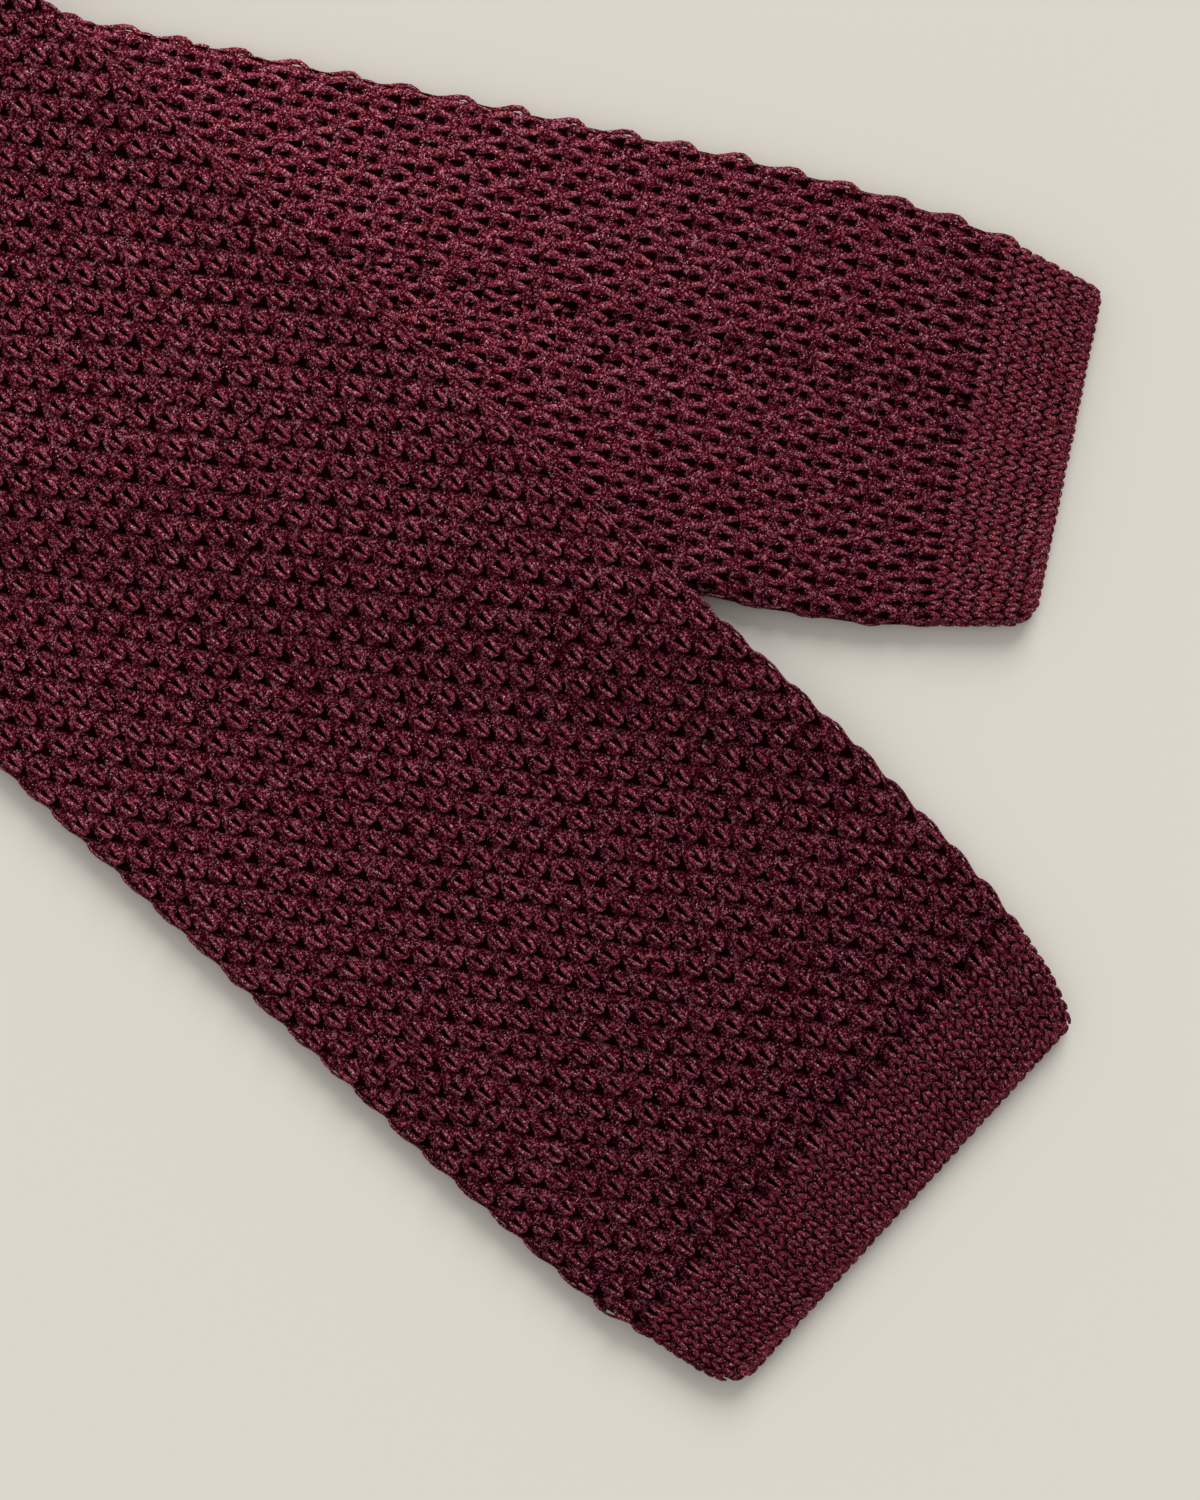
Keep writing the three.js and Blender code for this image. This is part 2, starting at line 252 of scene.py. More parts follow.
class Lay:
    """Where each point of the cloth lies: length from the front end, way across, and way out."""

    TAIL_SAMPLES = 240
    BLADE_SAMPLES = 500
    FOLD_SAMPLES = 13
    CHUNK = 20000

    def __init__(self, sizes: TieSizes, corner: Vector, right_edge: float) -> None:
        """Sets up the tail's centreline.

        Args:
            sizes: Sizes of the tie.
            corner: Lowest corner of the front end band's box, in metres.
            right_edge: How far the front blade reaches to the right, in metres.
        """
        self.sizes = sizes
        self.stretches = self._plan()
        last = self.stretches[-1]
        self.tail_length = last.begins + last.length
        self.fold_ends = sizes.front_leg + sizes.fold_length
        self.length = self.fold_ends + self.tail_length
        samples = np.linspace(0, self.tail_length, self.TAIL_SAMPLES + 1)
        x, y, _ = self.tail_line(samples)
        self.samples = np.stack([x, y, np.maximum(*self.tail_halves(samples))])
        blade = np.linspace(sizes.front_band, sizes.front_blade, self.BLADE_SAMPLES)
        faceting = sizes.thickness / 2 * (1 - math.sin(math.pi / 3))
        widest = self.front_halves(blade)[1].max() - faceting
        self.origin = np.array([right_edge / MM - widest, corner.y / MM, 0])

    def _plan(self) -> list[PlanStretch]:
        """The tail bends away from the crossing and comes back, so that it meets the fold square."""
        sizes = self.sizes
        crossing = math.radians(sizes.crossing_angle)
        back = math.radians(sizes.return_angle)
        straight = (2 * math.cos(back) - math.cos(crossing) - 1) / math.sin(back)
        reach = math.sin(crossing) + 2 * math.sin(back) + straight * math.cos(back)
        radius = (sizes.front_leg - sizes.front_to_crossing) / reach
        x = math.sin(crossing) * sizes.tail_to_crossing
        y = sizes.front_to_crossing - math.cos(crossing) * sizes.tail_to_crossing
        heading = crossing
        begins = 0.0
        stretches = []
        for length, turn in (
            (sizes.tail_to_crossing, 0.0),
            (radius * (crossing + back), -crossing - back),
            (radius * straight, 0.0),
            (radius * back, back),
        ):
            stretch = PlanStretch(begins, x, y, heading, length, turn / length)
            stretches.append(stretch)
            x, y, heading = (float(value) for value in stretch.point(np.float64(length)))
            begins += length
        return stretches

    def tail_line(self, distance: Array) -> tuple[Array, Array, Array]:
        """Plan position and heading at distances from the tail's end."""
        x, y, heading = self.stretches[0].point(distance)
        for stretch in self.stretches[1:]:
            later = distance > stretch.begins
            there = stretch.point(distance - stretch.begins)
            x, y, heading = (np.where(later, new, old) for new, old in zip(there, (x, y, heading)))
        return x, y, heading

    def fold_lengths(self) -> Array:
        """Lengths at which the cloth is drawn round the neck fold."""
        return np.linspace(self.sizes.front_leg, self.fold_ends, self.FOLD_SAMPLES)

    def front_halves(self, length: Array) -> tuple[Array, Array]:
        """Half widths to the left and right of the front half at lengths from its end."""
        sizes = self.sizes
        taper = look_up(FRONT_TAPER, length / sizes.front_blade, "wide")
        half = blend(sizes.neck_width, sizes.blade_width, taper) / 2
        flare = length / sizes.front_flare
        left = half * blend(1, look_up(FRONT_EDGE, flare, "left"), taper)
        right = half * blend(1, look_up(FRONT_EDGE, flare, "right"), taper)
        cuts = (corner_cut(length, corner) for corner in sizes.front_corners)
        return left - next(cuts), right - next(cuts)

    def tail_halves(self, distance: Array) -> tuple[Array, Array]:
        """Half widths to the left and right of the tail half at distances from its end."""
        sizes = self.sizes
        taper = look_up(TAIL_TAPER, distance / sizes.tail_blade, "wide")
        half = blend(sizes.neck_width, sizes.tail_width, taper) / 2
        flare = distance / sizes.tail_flare
        left = half * look_up(TAIL_EDGE, flare, "left")
        right = half * look_up(TAIL_EDGE, flare, "right")
        cuts = (corner_cut(distance, corner) for corner in sizes.tail_corners)
        return left - next(cuts), right - next(cuts)

    def halves(self, length: Array) -> tuple[Array, Array]:
        """Half widths to the left and right at lengths from the front end."""
        front = self.front_halves(np.minimum(length, self.sizes.front_leg))
        tail = self.tail_halves(np.minimum(self.length - length, self.tail_length))
        on_tail = length > self.fold_ends
        return np.where(on_tail, tail[0], front[0]), np.where(on_tail, tail[1], front[1])

    def lift(self, x: Array, y: Array) -> Array:
        """Height at which the upper half's underside lies over points of the plan."""
        sizes = self.sizes
        outside = np.empty(len(x))
        for start in range(0, len(x), self.CHUNK):
            part = slice(start, start + self.CHUNK)
            apart = np.hypot(x[part, None] - self.samples[0], y[part, None] - self.samples[1])
            outside[part] = (apart - self.samples[2]).min(axis=1)
        drop = smoothstep(outside, sizes.drape_margin, sizes.drape_margin + sizes.drape_run)
        rise = smoothstep(y, sizes.front_leg - sizes.fold_run, sizes.front_leg)
        over = sizes.thickness + sizes.gap
        return over * (1 - drop) + (2 * sizes.fold_radius - over) * rise

    def place(self, length: Array, across: Array, out: Array) -> Array:
        """Points of the cloth in the row frame, in metres.

        Args:
            length: Lengths from the front end.
            across: Ways across, to the right of the centreline as the face shows it.
            out: Ways out of the middle of the cloth towards its face.

        Returns:
            An array with a row for each point.
        """
        sizes = self.sizes
        length, across, out = (np.asarray(v, float) for v in np.broadcast_arrays(length, across, out))
        half = sizes.thickness / 2
        front = np.stack([across, length, half + out], axis=-1)
        front[..., 2] += self.lift(across.ravel(), length.ravel()).reshape(across.shape)
        turned = np.clip(length - sizes.front_leg, 0, sizes.fold_length) / sizes.fold_radius
        swing = sizes.fold_radius + out
        fold = np.stack(
            [
                across,
                sizes.front_leg + np.sin(turned) * swing,
                half + sizes.fold_radius + np.cos(turned) * swing,
            ],
            axis=-1,
        )
        distance = self.length - length
        x, y, heading = self.tail_line(np.clip(distance, 0, self.tail_length))
        skew = math.tan(math.radians(sizes.tail_skew)) * np.clip(1 - distance / sizes.tail_flare, 0, None)
        beyond = np.minimum(distance, 0) + across * skew
        tail = np.stack(
            [
                x + across * np.cos(heading) - beyond * np.sin(heading),
                y + across * np.sin(heading) + beyond * np.cos(heading),
                half - out,
            ],
            axis=-1,
        )
        points = np.where((length <= sizes.front_leg)[..., None], front, fold)
        points = np.where((length > self.fold_ends)[..., None], tail, points)
        return (points + self.origin) * MM

    def half(self, length: Array, side: Array) -> Array:
        """Half width on the side that the sign of a number names."""
        left, right = self.halves(length)
        return np.where(side >= 0, right, left)

    def skin(self, length: Array, share: Array, radius: float) -> Array:
        """Points of a skin of the sleeve, in metres.

        Args:
            length: Lengths from the front end.
            share: Ways round the sleeve from the middle of its face, as shares of its half width.
            radius: How far the skin lies from the middle of the cloth.

        Returns:
            An array with a row for each point.
        """
        half = self.half(length, share)
        flat = half - self.sizes.thickness / 2
        girth = np.abs(share) * half
        turn = np.clip((girth - flat) / radius, 0, math.pi)
        back = np.maximum(girth - flat - math.pi * radius, 0)
        across = np.minimum(girth, flat) + radius * np.sin(turn) - back
        return self.place(length, np.sign(share) * across, radius * np.cos(turn))

    def axes(self, length: Array, share: Array, radius: float) -> tuple[Array, Array]:
        """Directions on a skin of the sleeve.

        Args:
            length: Lengths from the front end.
            share: Ways round the sleeve, as shares of its half width.
            radius: How far the skin lies from the middle of the cloth.

        Returns:
            Unit vectors along the wales, and out of the surface.
        """
        step = 0.4
        turn = step / self.half(length, share)
        along = self.skin(length + step, share, radius) - self.skin(length - step, share, radius)
        side = self.skin(length, share + turn, radius) - self.skin(length, share - turn, radius)
        outward = np.cross(side, along)
        return tuple(v / np.linalg.norm(v, axis=-1, keepdims=True) for v in (along, outward))


class Zone(Enum):
    """Which part of the sleeve's girth a field of stitches covers."""

    FACE = "face"
    BACK = "back"
    FACE_AND_EDGES = "face and edges"
    BACK_AND_EDGES = "back and edges"


@dataclass(frozen=True)
class Strand:
    """One length of yarn in a stitch, in millimetres.

    The points run across the stitch, along it towards its tip, and out of the cloth.
    """

    points: tuple[Point, ...]
    thick: tuple[float, ...]
    steps: int
    sides: int
    mirrored: bool = True
    flat: float = 1.0

    def rings(self) -> tuple[Array, Array]:
        """Points and half thicknesses along the strand, on a smooth curve through its points."""
        points = np.array(self.points)
        ends = np.vstack([2 * points[0] - points[1], points, 2 * points[-1] - points[-2]])
        at = np.linspace(0, len(points) - 1, self.steps + 1)
        number = np.minimum(at.astype(int), len(points) - 2)
        t = (at - number)[:, None]
        a, b, c, d = (ends[number + shift] for shift in range(4))
        curve = 0.5 * (
            2 * b + (c - a) * t + (2 * a - 5 * b + 4 * c - d) * t**2 + (3 * b - a - 3 * c + d) * t**3
        )
        return curve, np.interp(at, np.linspace(0, len(points) - 1, len(self.thick)), self.thick)


@dataclass
class MeshParts:
    """Points, faces and a place on the yarn or cloth for each point, gathered for one mesh."""

    points: list[Array] = field(default_factory=list)
    faces: list[tuple[int, ...]] = field(default_factory=list)
    spots: list[Array] = field(default_factory=list)

    def add(self, points: Array, spots: Array) -> int:
        """Adds points with their spots, and returns the number of the first."""
        first = sum(len(block) for block in self.points)
        self.points.append(points)
        self.spots.append(spots)
        return first

    def join(self, first: Sequence[int], second: Sequence[int], closed: bool = True) -> None:
        """Joins two rows of points by a band of faces.

        Args:
            first: Numbers of the points of one row.
            second: Numbers of the points of the next row.
            closed: Whether the rows run round to their start.
        """
        count = len(first)
        for here in range(count if closed else count - 1):
            after = (here + 1) % count
            self.faces.append((first[here], first[after], second[after], second[here]))

    def tube(self, strand: Strand, mirror: bool) -> None:
        """Adds a strand as a closed tube."""
        curve, thick = strand.rings()
        curve = curve * ((-1, 1, 1) if mirror else (1, 1, 1))
        forward = np.gradient(curve, axis=0)
        forward /= np.linalg.norm(forward, axis=1, keepdims=True)
        side = np.cross(forward, (0, 0, 1))
        side /= np.linalg.norm(side, axis=1, keepdims=True)
        up = np.cross(side, forward)
        turn = np.arange(strand.sides) * (2 * math.pi / strand.sides)
        run = np.concatenate([[0], np.cumsum(np.linalg.norm(np.diff(curve, axis=0), axis=1))])
        rows = []
        for centre, radius, across, over, way in zip(curve, thick, side, up, run):
            ring = np.outer(np.cos(turn), across) + np.outer(np.sin(turn), over) * strand.flat
            spots = np.stack([turn / (2 * math.pi), np.full(strand.sides, way)], axis=1)
            start = self.add(centre + radius * ring, spots)
            rows.append(range(start, start + strand.sides))
        for row, following in zip(rows, rows[1:]):
            self.join(following, row)
        self.faces.append(tuple(rows[0]))
        self.faces.append(tuple(reversed(rows[-1])))

    def mesh(self, name: str, scale: float = 1.0, smooth: bool = True) -> bpy.types.Mesh:
        """The gathered faces as a mesh with a map named UVMap, turned outwards.

        Args:
            name: The mesh's name.
            scale: What its points are multiplied by.
            smooth: Whether it is shaded smooth.

        Returns:
            The new mesh.
        """
        points = np.vstack(self.points) * scale
        corners = np.array([(f[0], f[i], f[i + 1]) for f in self.faces for i in range(1, len(f) - 1)])
        a, b, c = (points[corners[:, n]] for n in range(3))
        if np.einsum("ij,ij->", a, np.cross(b, c)) < 0:
            self.faces = [tuple(reversed(face)) for face in self.faces]
        mesh = bpy.data.meshes.new(name)
        mesh.from_pydata(points.tolist(), [], self.faces)
        spots = np.vstack(self.spots)
        loops = np.empty(len(mesh.loops), int)
        mesh.loops.foreach_get("vertex_index", loops)
        layer = mesh.uv_layers.new(name="UVMap")
        layer.data.foreach_set("uv", spots[loops].astype(np.float32).ravel())
        mesh.polygons.foreach_set("use_smooth", [smooth] * len(mesh.polygons))
        mesh.update()
        return mesh


@dataclass(frozen=True)
class Motif:
    """A stitch: its strands, with the width and length of the repeat that they are drawn for."""

    name: str
    wale: float
    repeat: float
    strands: tuple[Strand, ...]

    def build(self) -> bpy.types.Object:
        """The stitch as an object in metres, out of the scene, for the fields to repeat."""
        parts = MeshParts()
        for strand in self.strands:
            parts.tube(strand, mirror=False)
            if strand.mirrored:
                parts.tube(strand, mirror=True)
        return bpy.data.objects.new(self.name, parts.mesh(self.name, MM))


@dataclass(frozen=True)
class Places:
    """Where the stitches of a field stand: points, directions and sizes, one row each."""

    points: Array
    out: Array
    along: Array
    size: Array


class Knit:
    """How the wales and rows of stitches run over the sleeve."""

    WALES = {"front": 38, "neck": 28, "tail": 34}
    REPEATS = {"front": 4.94, "neck": 6.6, "tail": 6.14}
    BASE = 0.6
    PROUD = 1.0
    EDGE_HEIGHT = 0.65
    EDGE_SINK = 0.15
    OVER_BAND = 0.9
    COLUMNS = np.arange(-80, 81)
    SLIDE = 0.07
    SWAY = 0.002
    UNEVEN = 0.05
    FLATTEST = 0.3

    def __init__(self, lay: Lay) -> None:
        """Sets out the rows from one end band to the other.

        Args:
            lay: Where the cloth lies.
        """
        self.lay = lay
        self.radius = lay.sizes.thickness / 2 - self.BASE
        rows = [lay.sizes.front_band + lay.sizes.gap - self.OVER_BAND]
        while rows[-1] < lay.length - lay.sizes.tail_band:
            rows.append(rows[-1] + float(self.measure(np.array([rows[-1]]), self.REPEATS)[0]) / 2)
        self.rows = np.array(rows[:-1])

    def measure(self, length: Array, values: dict[str, float]) -> Array:
        """A value of the knit at lengths along the tie, between those of the front, neck and tail."""
        sizes = self.lay.sizes
        front = look_up(FRONT_TAPER, length / sizes.front_blade, "wide")
        tail = look_up(TAIL_TAPER, (self.lay.length - length) / sizes.tail_blade, "wide")
        return (
            values["neck"]
            + (values["front"] - values["neck"]) * front
            + (values["tail"] - values["neck"]) * tail
        )

    def count(self, length: Array, girth: Array) -> Array:
        """Numbers of the wale and the row at spots of the sleeve, as a map of the ground."""
        wale = self.lay.half(length, girth) * 2 / self.measure(length, self.WALES)
        row = np.interp(length, self.rows, np.arange(len(self.rows)))
        return np.stack([girth / wale, row], axis=1)

    def limits(self, length: Array) -> tuple[Array, Array]:
        """Ways round the sleeve to the seam's slot, on the left and on the right."""
        sizes = self.lay.sizes
        left, right = self.lay.halves(length)
        half = sizes.thickness / 2
        turn = math.pi * self.radius
        slot_right = sizes.seam_offset + sizes.slot_width / 2
        slot_left = sizes.seam_offset - sizes.slot_width / 2
        return 2 * (left - half) + turn + slot_left, 2 * (right - half) + turn - slot_right

    def inside(self, length: Array, girth: Array, zone: Zone, over: float = 0.3) -> Array:
        """Which ways round the sleeve a zone covers.

        Args:
            length: Lengths from the front end.
            girth: Ways round the sleeve.
            zone: Part of the girth.
            over: How far a zone of the back reaches over the seam's slot.

        Returns:
            True for the spots that it covers.
        """
        left, right = self.lay.halves(length)
        flat = np.where(girth >= 0, right, left) - self.lay.sizes.thickness / 2
        arc = math.pi * self.radius
        limit = np.where(girth >= 0, *reversed(self.limits(length))) + over
        beyond = np.abs(girth) - flat
        return {
            Zone.FACE: beyond <= 0,
            Zone.BACK: (beyond > arc) & (np.abs(girth) < limit),
            Zone.FACE_AND_EDGES: beyond <= arc,
            Zone.BACK_AND_EDGES: (beyond > 0) & (np.abs(girth) < limit),
        }[zone]

    def spread(self, motif: Motif, span: tuple[float, float], zone: Zone, seed: int) -> Places:
        """Staggered stitches over a stretch of the sleeve, with tips towards the front end.

        Args:
            motif: The stitch.
            span: Lengths between which the stitches stand.
            zone: Part of the girth.
            seed: Number that fixes the small irregularities.

        Returns:
            The stitches' places.
        """
        numbers = np.flatnonzero((self.rows >= span[0]) & (self.rows < span[1]))
        row, column = (a.ravel() for a in np.meshgrid(numbers, self.COLUMNS, indexing="ij"))
        kept = (row + column) % 2 == 0
        row, column = row[kept], column[kept]
        length = self.rows[row]
        wales = self.measure(length, self.WALES)
        left, right = self.lay.halves(length)
        wale = np.where(column >= 0, right, left) * 2 / wales
        girth = column * wale
        repeat = self.measure(length, self.REPEATS)
        kept = self.inside(length, girth, zone)
        size = np.stack([wale / motif.wale, repeat / motif.repeat, np.ones(len(wale))], axis=1)
        return self.stand(length[kept], girth[kept], size[kept], -1, seed)

    def sides(
        self, motif: Motif, span: tuple[float, float], high: tuple[float, float], seed: int
    ) -> Places:
        """Places along both long edges of the sleeve, one for each repeat.

        Args:
            motif: The stitch.
            span: Lengths between which the stitches stand.
            high: How far they stand out on the left and right, as shares of the motif's own height.
            seed: Number that fixes the small irregularities.

        Returns:
            The stitches' places.
        """
        rows = self.rows[::2]
        rows = rows[(rows >= span[0]) & (rows < span[1])]
        length = np.tile(rows, 2)
        side = np.repeat([-1.0, 1.0], len(rows))
        edge = self.lay.half(length, side) - self.lay.sizes.thickness / 2 + math.pi * self.radius / 2
        repeat = self.measure(length, self.REPEATS) / motif.repeat
        size = np.stack([np.ones(len(length)), repeat, np.repeat(high, len(rows))], axis=1)
        return self.stand(length, side * edge, size, -1, seed)

    def band(self, motif: Motif, rows: Array, wales: int, tips: int, zone: Zone, seed: int) -> Places:
        """Rows of plain knit over an end band.

        Args:
            motif: The stitch.
            rows: Lengths of the rows from the front end.
            wales: Number of wales on the face.
            tips: 1 where tips point towards the tail's end, -1 towards the front end.
            zone: Part of the girth.
            seed: Number that fixes the small irregularities.

        Returns:
            The stitches' places.
        """
        length, column = (a.ravel() for a in np.meshgrid(rows, self.COLUMNS + 0.5, indexing="ij"))
        left, right = self.lay.halves(length)
        wale = np.where(column >= 0, right, left) * 2 / wales
        girth = column * wale
        kept = self.inside(length, girth, zone, self.lay.sizes.slot_width / 2 - 0.2)
        along = np.full(len(wale), abs(rows[1] - rows[0]) / motif.repeat)
        size = np.stack([wale / motif.wale, along, np.ones(len(wale))], axis=1)
        return self.stand(length[kept], girth[kept], size[kept], tips, seed)

    def stand(self, length: Array, girth: Array, size: Array, tips: int, seed: int) -> Places:
        """Places for stitches at given spots of the sleeve, each a little off its spot.

        Args:
            length: Lengths from the front end.
            girth: Ways round the sleeve.
            size: Sizes across, along and out, one row each.
            tips: 1 where tips point towards the tail's end, -1 towards the front end.
            seed: Number that fixes the small irregularities.

        Returns:
            The stitches' places.
        """
        random = np.random.default_rng(seed)
        half = self.lay.half(length, girth)
        beyond = np.abs(girth) - half + self.lay.sizes.thickness / 2
        on_edge = (beyond > 0) & (beyond < math.pi * self.radius)
        size[:, 2] *= np.where(on_edge, self.EDGE_HEIGHT, 1)
        share = girth / half
        length = length + random.normal(0, self.SLIDE, len(length))
        share = share + random.normal(0, self.SWAY, len(girth))
        size = size * random.normal(1, self.UNEVEN, size.shape)
        points = self.lay.skin(length, share, self.radius)
        along, out = self.lay.axes(length, share, self.radius)
        points -= out * (on_edge * self.EDGE_SINK * MM)[:, None]
        reach = np.clip(-out[:, 2], 1e-6, None) * self.PROUD * MM
        size[:, 2] *= np.clip(points[:, 2] / reach, self.FLATTEST, 1)
        return Places(points, out, along * tips, size)


class Value:
    """A socket in a material's nodes. Its operators add Math nodes."""

    Other = Union["Value", float]

    def __init__(self, graph: "Graph", socket: bpy.types.NodeSocket) -> None:
        """Wraps a socket of a graph."""
        self.graph = graph
        self.socket = socket

    def _math(self, operation: str, first: Other, second: Other) -> "Value":
        """A Math node on two values."""
        return self.graph.node("ShaderNodeMath", {"operation": operation}, {0: first, 1: second})

    def __add__(self, other: Other) -> "Value":
        """Sum."""
        return self._math("ADD", self, other)

    __radd__ = __add__

    def __mul__(self, other: Other) -> "Value":
        """Product."""
        return self._math("MULTIPLY", self, other)

    __rmul__ = __mul__

    def __sub__(self, other: Other) -> "Value":
        """Difference."""
        return self._math("SUBTRACT", self, other)

    def __rsub__(self, other: Other) -> "Value":
        """Difference from a number."""
        return self._math("SUBTRACT", other, self)

    def __truediv__(self, other: Other) -> "Value":
        """Quotient."""
        return self._math("DIVIDE", self, other)

    def size(self) -> "Value":
        """The value without its sign."""
        return self.graph.node("ShaderNodeMath", {"operation": "ABSOLUTE"}, {0: self})

    def least(self, other: Other) -> "Value":
        """The smaller of two values."""
        return self._math("MINIMUM", self, other)

    def most(self, other: Other) -> "Value":
        """The larger of two values."""
        return self._math("MAXIMUM", self, other)

    def nearest(self) -> "Value":
        """The nearest whole number."""
        return self.graph.node("ShaderNodeMath", {"operation": "ROUND"}, {0: self})

    def output(self, name: str) -> "Value":
        """Another output of the same node."""
        return Value(self.graph, self.socket.node.outputs[name])


def put(tree: bpy.types.NodeTree, socket: bpy.types.NodeSocket, value: object) -> None:
    """Links a value or another socket to a socket, or sets a number or a colour there."""
    source = value.socket if isinstance(value, Value) else value
    if isinstance(source, bpy.types.NodeSocket):
        tree.links.new(source, socket)
    else:
        socket.default_value = (*source, 1.0) if socket.type == "RGBA" else source


def add_node(
    tree: bpy.types.NodeTree, kind: str, settings: dict | None = None, inputs: dict | None = None
) -> bpy.types.Node:
    """Adds a node to a tree.

    Args:
        tree: The tree.
        kind: The node's type.
        settings: Its own settings, or `stops` of (position, colour) for a ramp.
        inputs: Values or links of its sockets, by name, or by number among those in use.

    Returns:
        The node.
    """
    node = tree.nodes.new(kind)
    for name, setting in (settings or {}).items():
        if name != "stops":
            setattr(node, name, setting)
            continue
        elements = node.color_ramp.elements
        while len(elements) < len(setting):
            elements.new(0.5)
        for element, (position, colour) in zip(elements, setting):
            element.position = position
            element.color = (*colour, 1.0)
    sockets = [socket for socket in node.inputs if socket.enabled]
    for name, value in (inputs or {}).items():
        socket = sockets[name] if isinstance(name, int) else next(s for s in sockets if s.name == name)
        put(tree, socket, value)
    return node


def first_output(node: bpy.types.Node) -> bpy.types.NodeSocket:
    """A node's first output that is in use."""
    return next(socket for socket in node.outputs if socket.enabled)


REDDER = (1.05, 0.94, 0.91)
MORE_VIOLET = (0.95, 1.04, 1.10)
DYE_SCALE = 900.0
FIBRE_SCALE = 4000.0
GLINT_SCALE = 5200.0
RAGGED_SCALE = 1500.0
DRIFT_SCALE = 320.0
BUMP_DEPTH = 0.0003


class FalloffRow(NamedTuple):
    """A place along the tie's Y in metres, and what the colour is multiplied by there, as painted light
    falling off along the tie.
    """

    y: float
    tone: Colour


# Painted light: the front half's colour darkens towards the front end, as light falling off.
FRONT_PAINTED_FALLOFF = (
    FalloffRow(-0.355, (0.84, 0.82, 0.86)),
    FalloffRow(-0.235, (1.40, 1.37, 1.38)),
)
# Painted light: the tail's colour darkens towards its end and evens out towards the neck.
TAIL_PAINTED_FALLOFF = (
    FalloffRow(-0.316, (0.74, 0.73, 0.76)),
    FalloffRow(-0.240, (1.28, 1.26, 1.27)),
    FalloffRow(-0.180, (1.28, 1.26, 1.27)),
    FalloffRow(-0.060, (1.00, 1.00, 1.00)),
)


class Graph:
    """The nodes of one material."""

    def __init__(self, name: str) -> None:
        """Makes a material with an empty Principled surface."""
        self.material = bpy.data.materials.new(name)
        self.material.use_nodes = True
        self.tree = self.material.node_tree
        self.surface = next(n for n in self.tree.nodes if n.type == "BSDF_PRINCIPLED")

    def node(self, kind: str, settings: dict | None = None, inputs: dict | None = None) -> Value:
        """Adds a node, and gives its first output that is in use."""
        return Value(self, first_output(add_node(self.tree, kind, settings, inputs)))

    def noise(self, place: Value, scale: float, detail: float, roughness: float = 0.5) -> Value:
        """Noise between 0 and 1 at a place on the tie."""
        inputs = {"Vector": place, "Scale": scale, "Detail": detail, "Roughness": roughness}
        return self.node("ShaderNodeTexNoise", None, inputs)

    def rise(self, value: Value, low: float, high: float, most: float = 1.0) -> Value:
        """0 up to the low value, and straight from there to the most at the high value."""
        inputs = {"Value": value, "From Min": low, "From Max": high, "To Min": 0.0, "To Max": most}
        return self.node("ShaderNodeMapRange", {"clamp": True}, inputs)

    def mix(self, share: Value | float, low: Value | Colour, high: Value | Colour, how: str = "MIX") -> Value:
        """A mix of two colours."""
        settings = {"data_type": "RGBA", "blend_type": how}
        return self.node("ShaderNodeMix", settings, {"Factor": share, "A": low, "B": high})

    def dye_and_painted_falloff(self, place: Value, colour: Value, brightness: float, painted_falloff: Sequence[FalloffRow]) -> Value:
        """A colour as the yarn was dyed, in places redder and in places more violet, and lightened and
        darkened along the tie by painted light falloff where rows of it are given.

        Args:
            place: Where on the tie, in metres.
            colour: Colour before.
            brightness: What it is multiplied by.
            painted_falloff: Painted light, how it lightens and darkens along the tie, if it does.

        Returns:
            The new colour.
        """
        share = self.rise(self.noise(place, DYE_SCALE, 1.0), 0.35, 0.65)
        tint = self.mix(share, REDDER, MORE_VIOLET)
        tinted = self.mix(1.0, colour, tint, "MULTIPLY")
        tinted = self.mix(1.0, tinted, (brightness,) * 3, "MULTIPLY")
        if not painted_falloff:
            return tinted
        first, length = painted_falloff[0].y, painted_falloff[-1].y - painted_falloff[0].y
        brightest = max(max(row.tone) for row in painted_falloff)
        stops = [((row.y - first) / length, tuple(part / brightest for part in row.tone)) for row in painted_falloff]
        # Painted light falloff along the tie's Y.
        run = self.node("ShaderNodeSeparateXYZ", None, {"Vector": place}).output("Y")
        tone = self.node("ShaderNodeValToRGB", {"stops": stops}, {0: (run - first) / length})
        tinted = self.mix(1.0, tinted, (brightest,) * 3, "MULTIPLY")
        return self.mix(1.0, tinted, tone, "MULTIPLY")

    def finish(self, **sockets: Value | float | Colour) -> bpy.types.Material:
        """Sets the surface's sockets, named with underscores for spaces, and returns the material."""
        for name, value in sockets.items():
            put(self.tree, self.surface.inputs[name.replace("_", " ")], value)
        return self.material


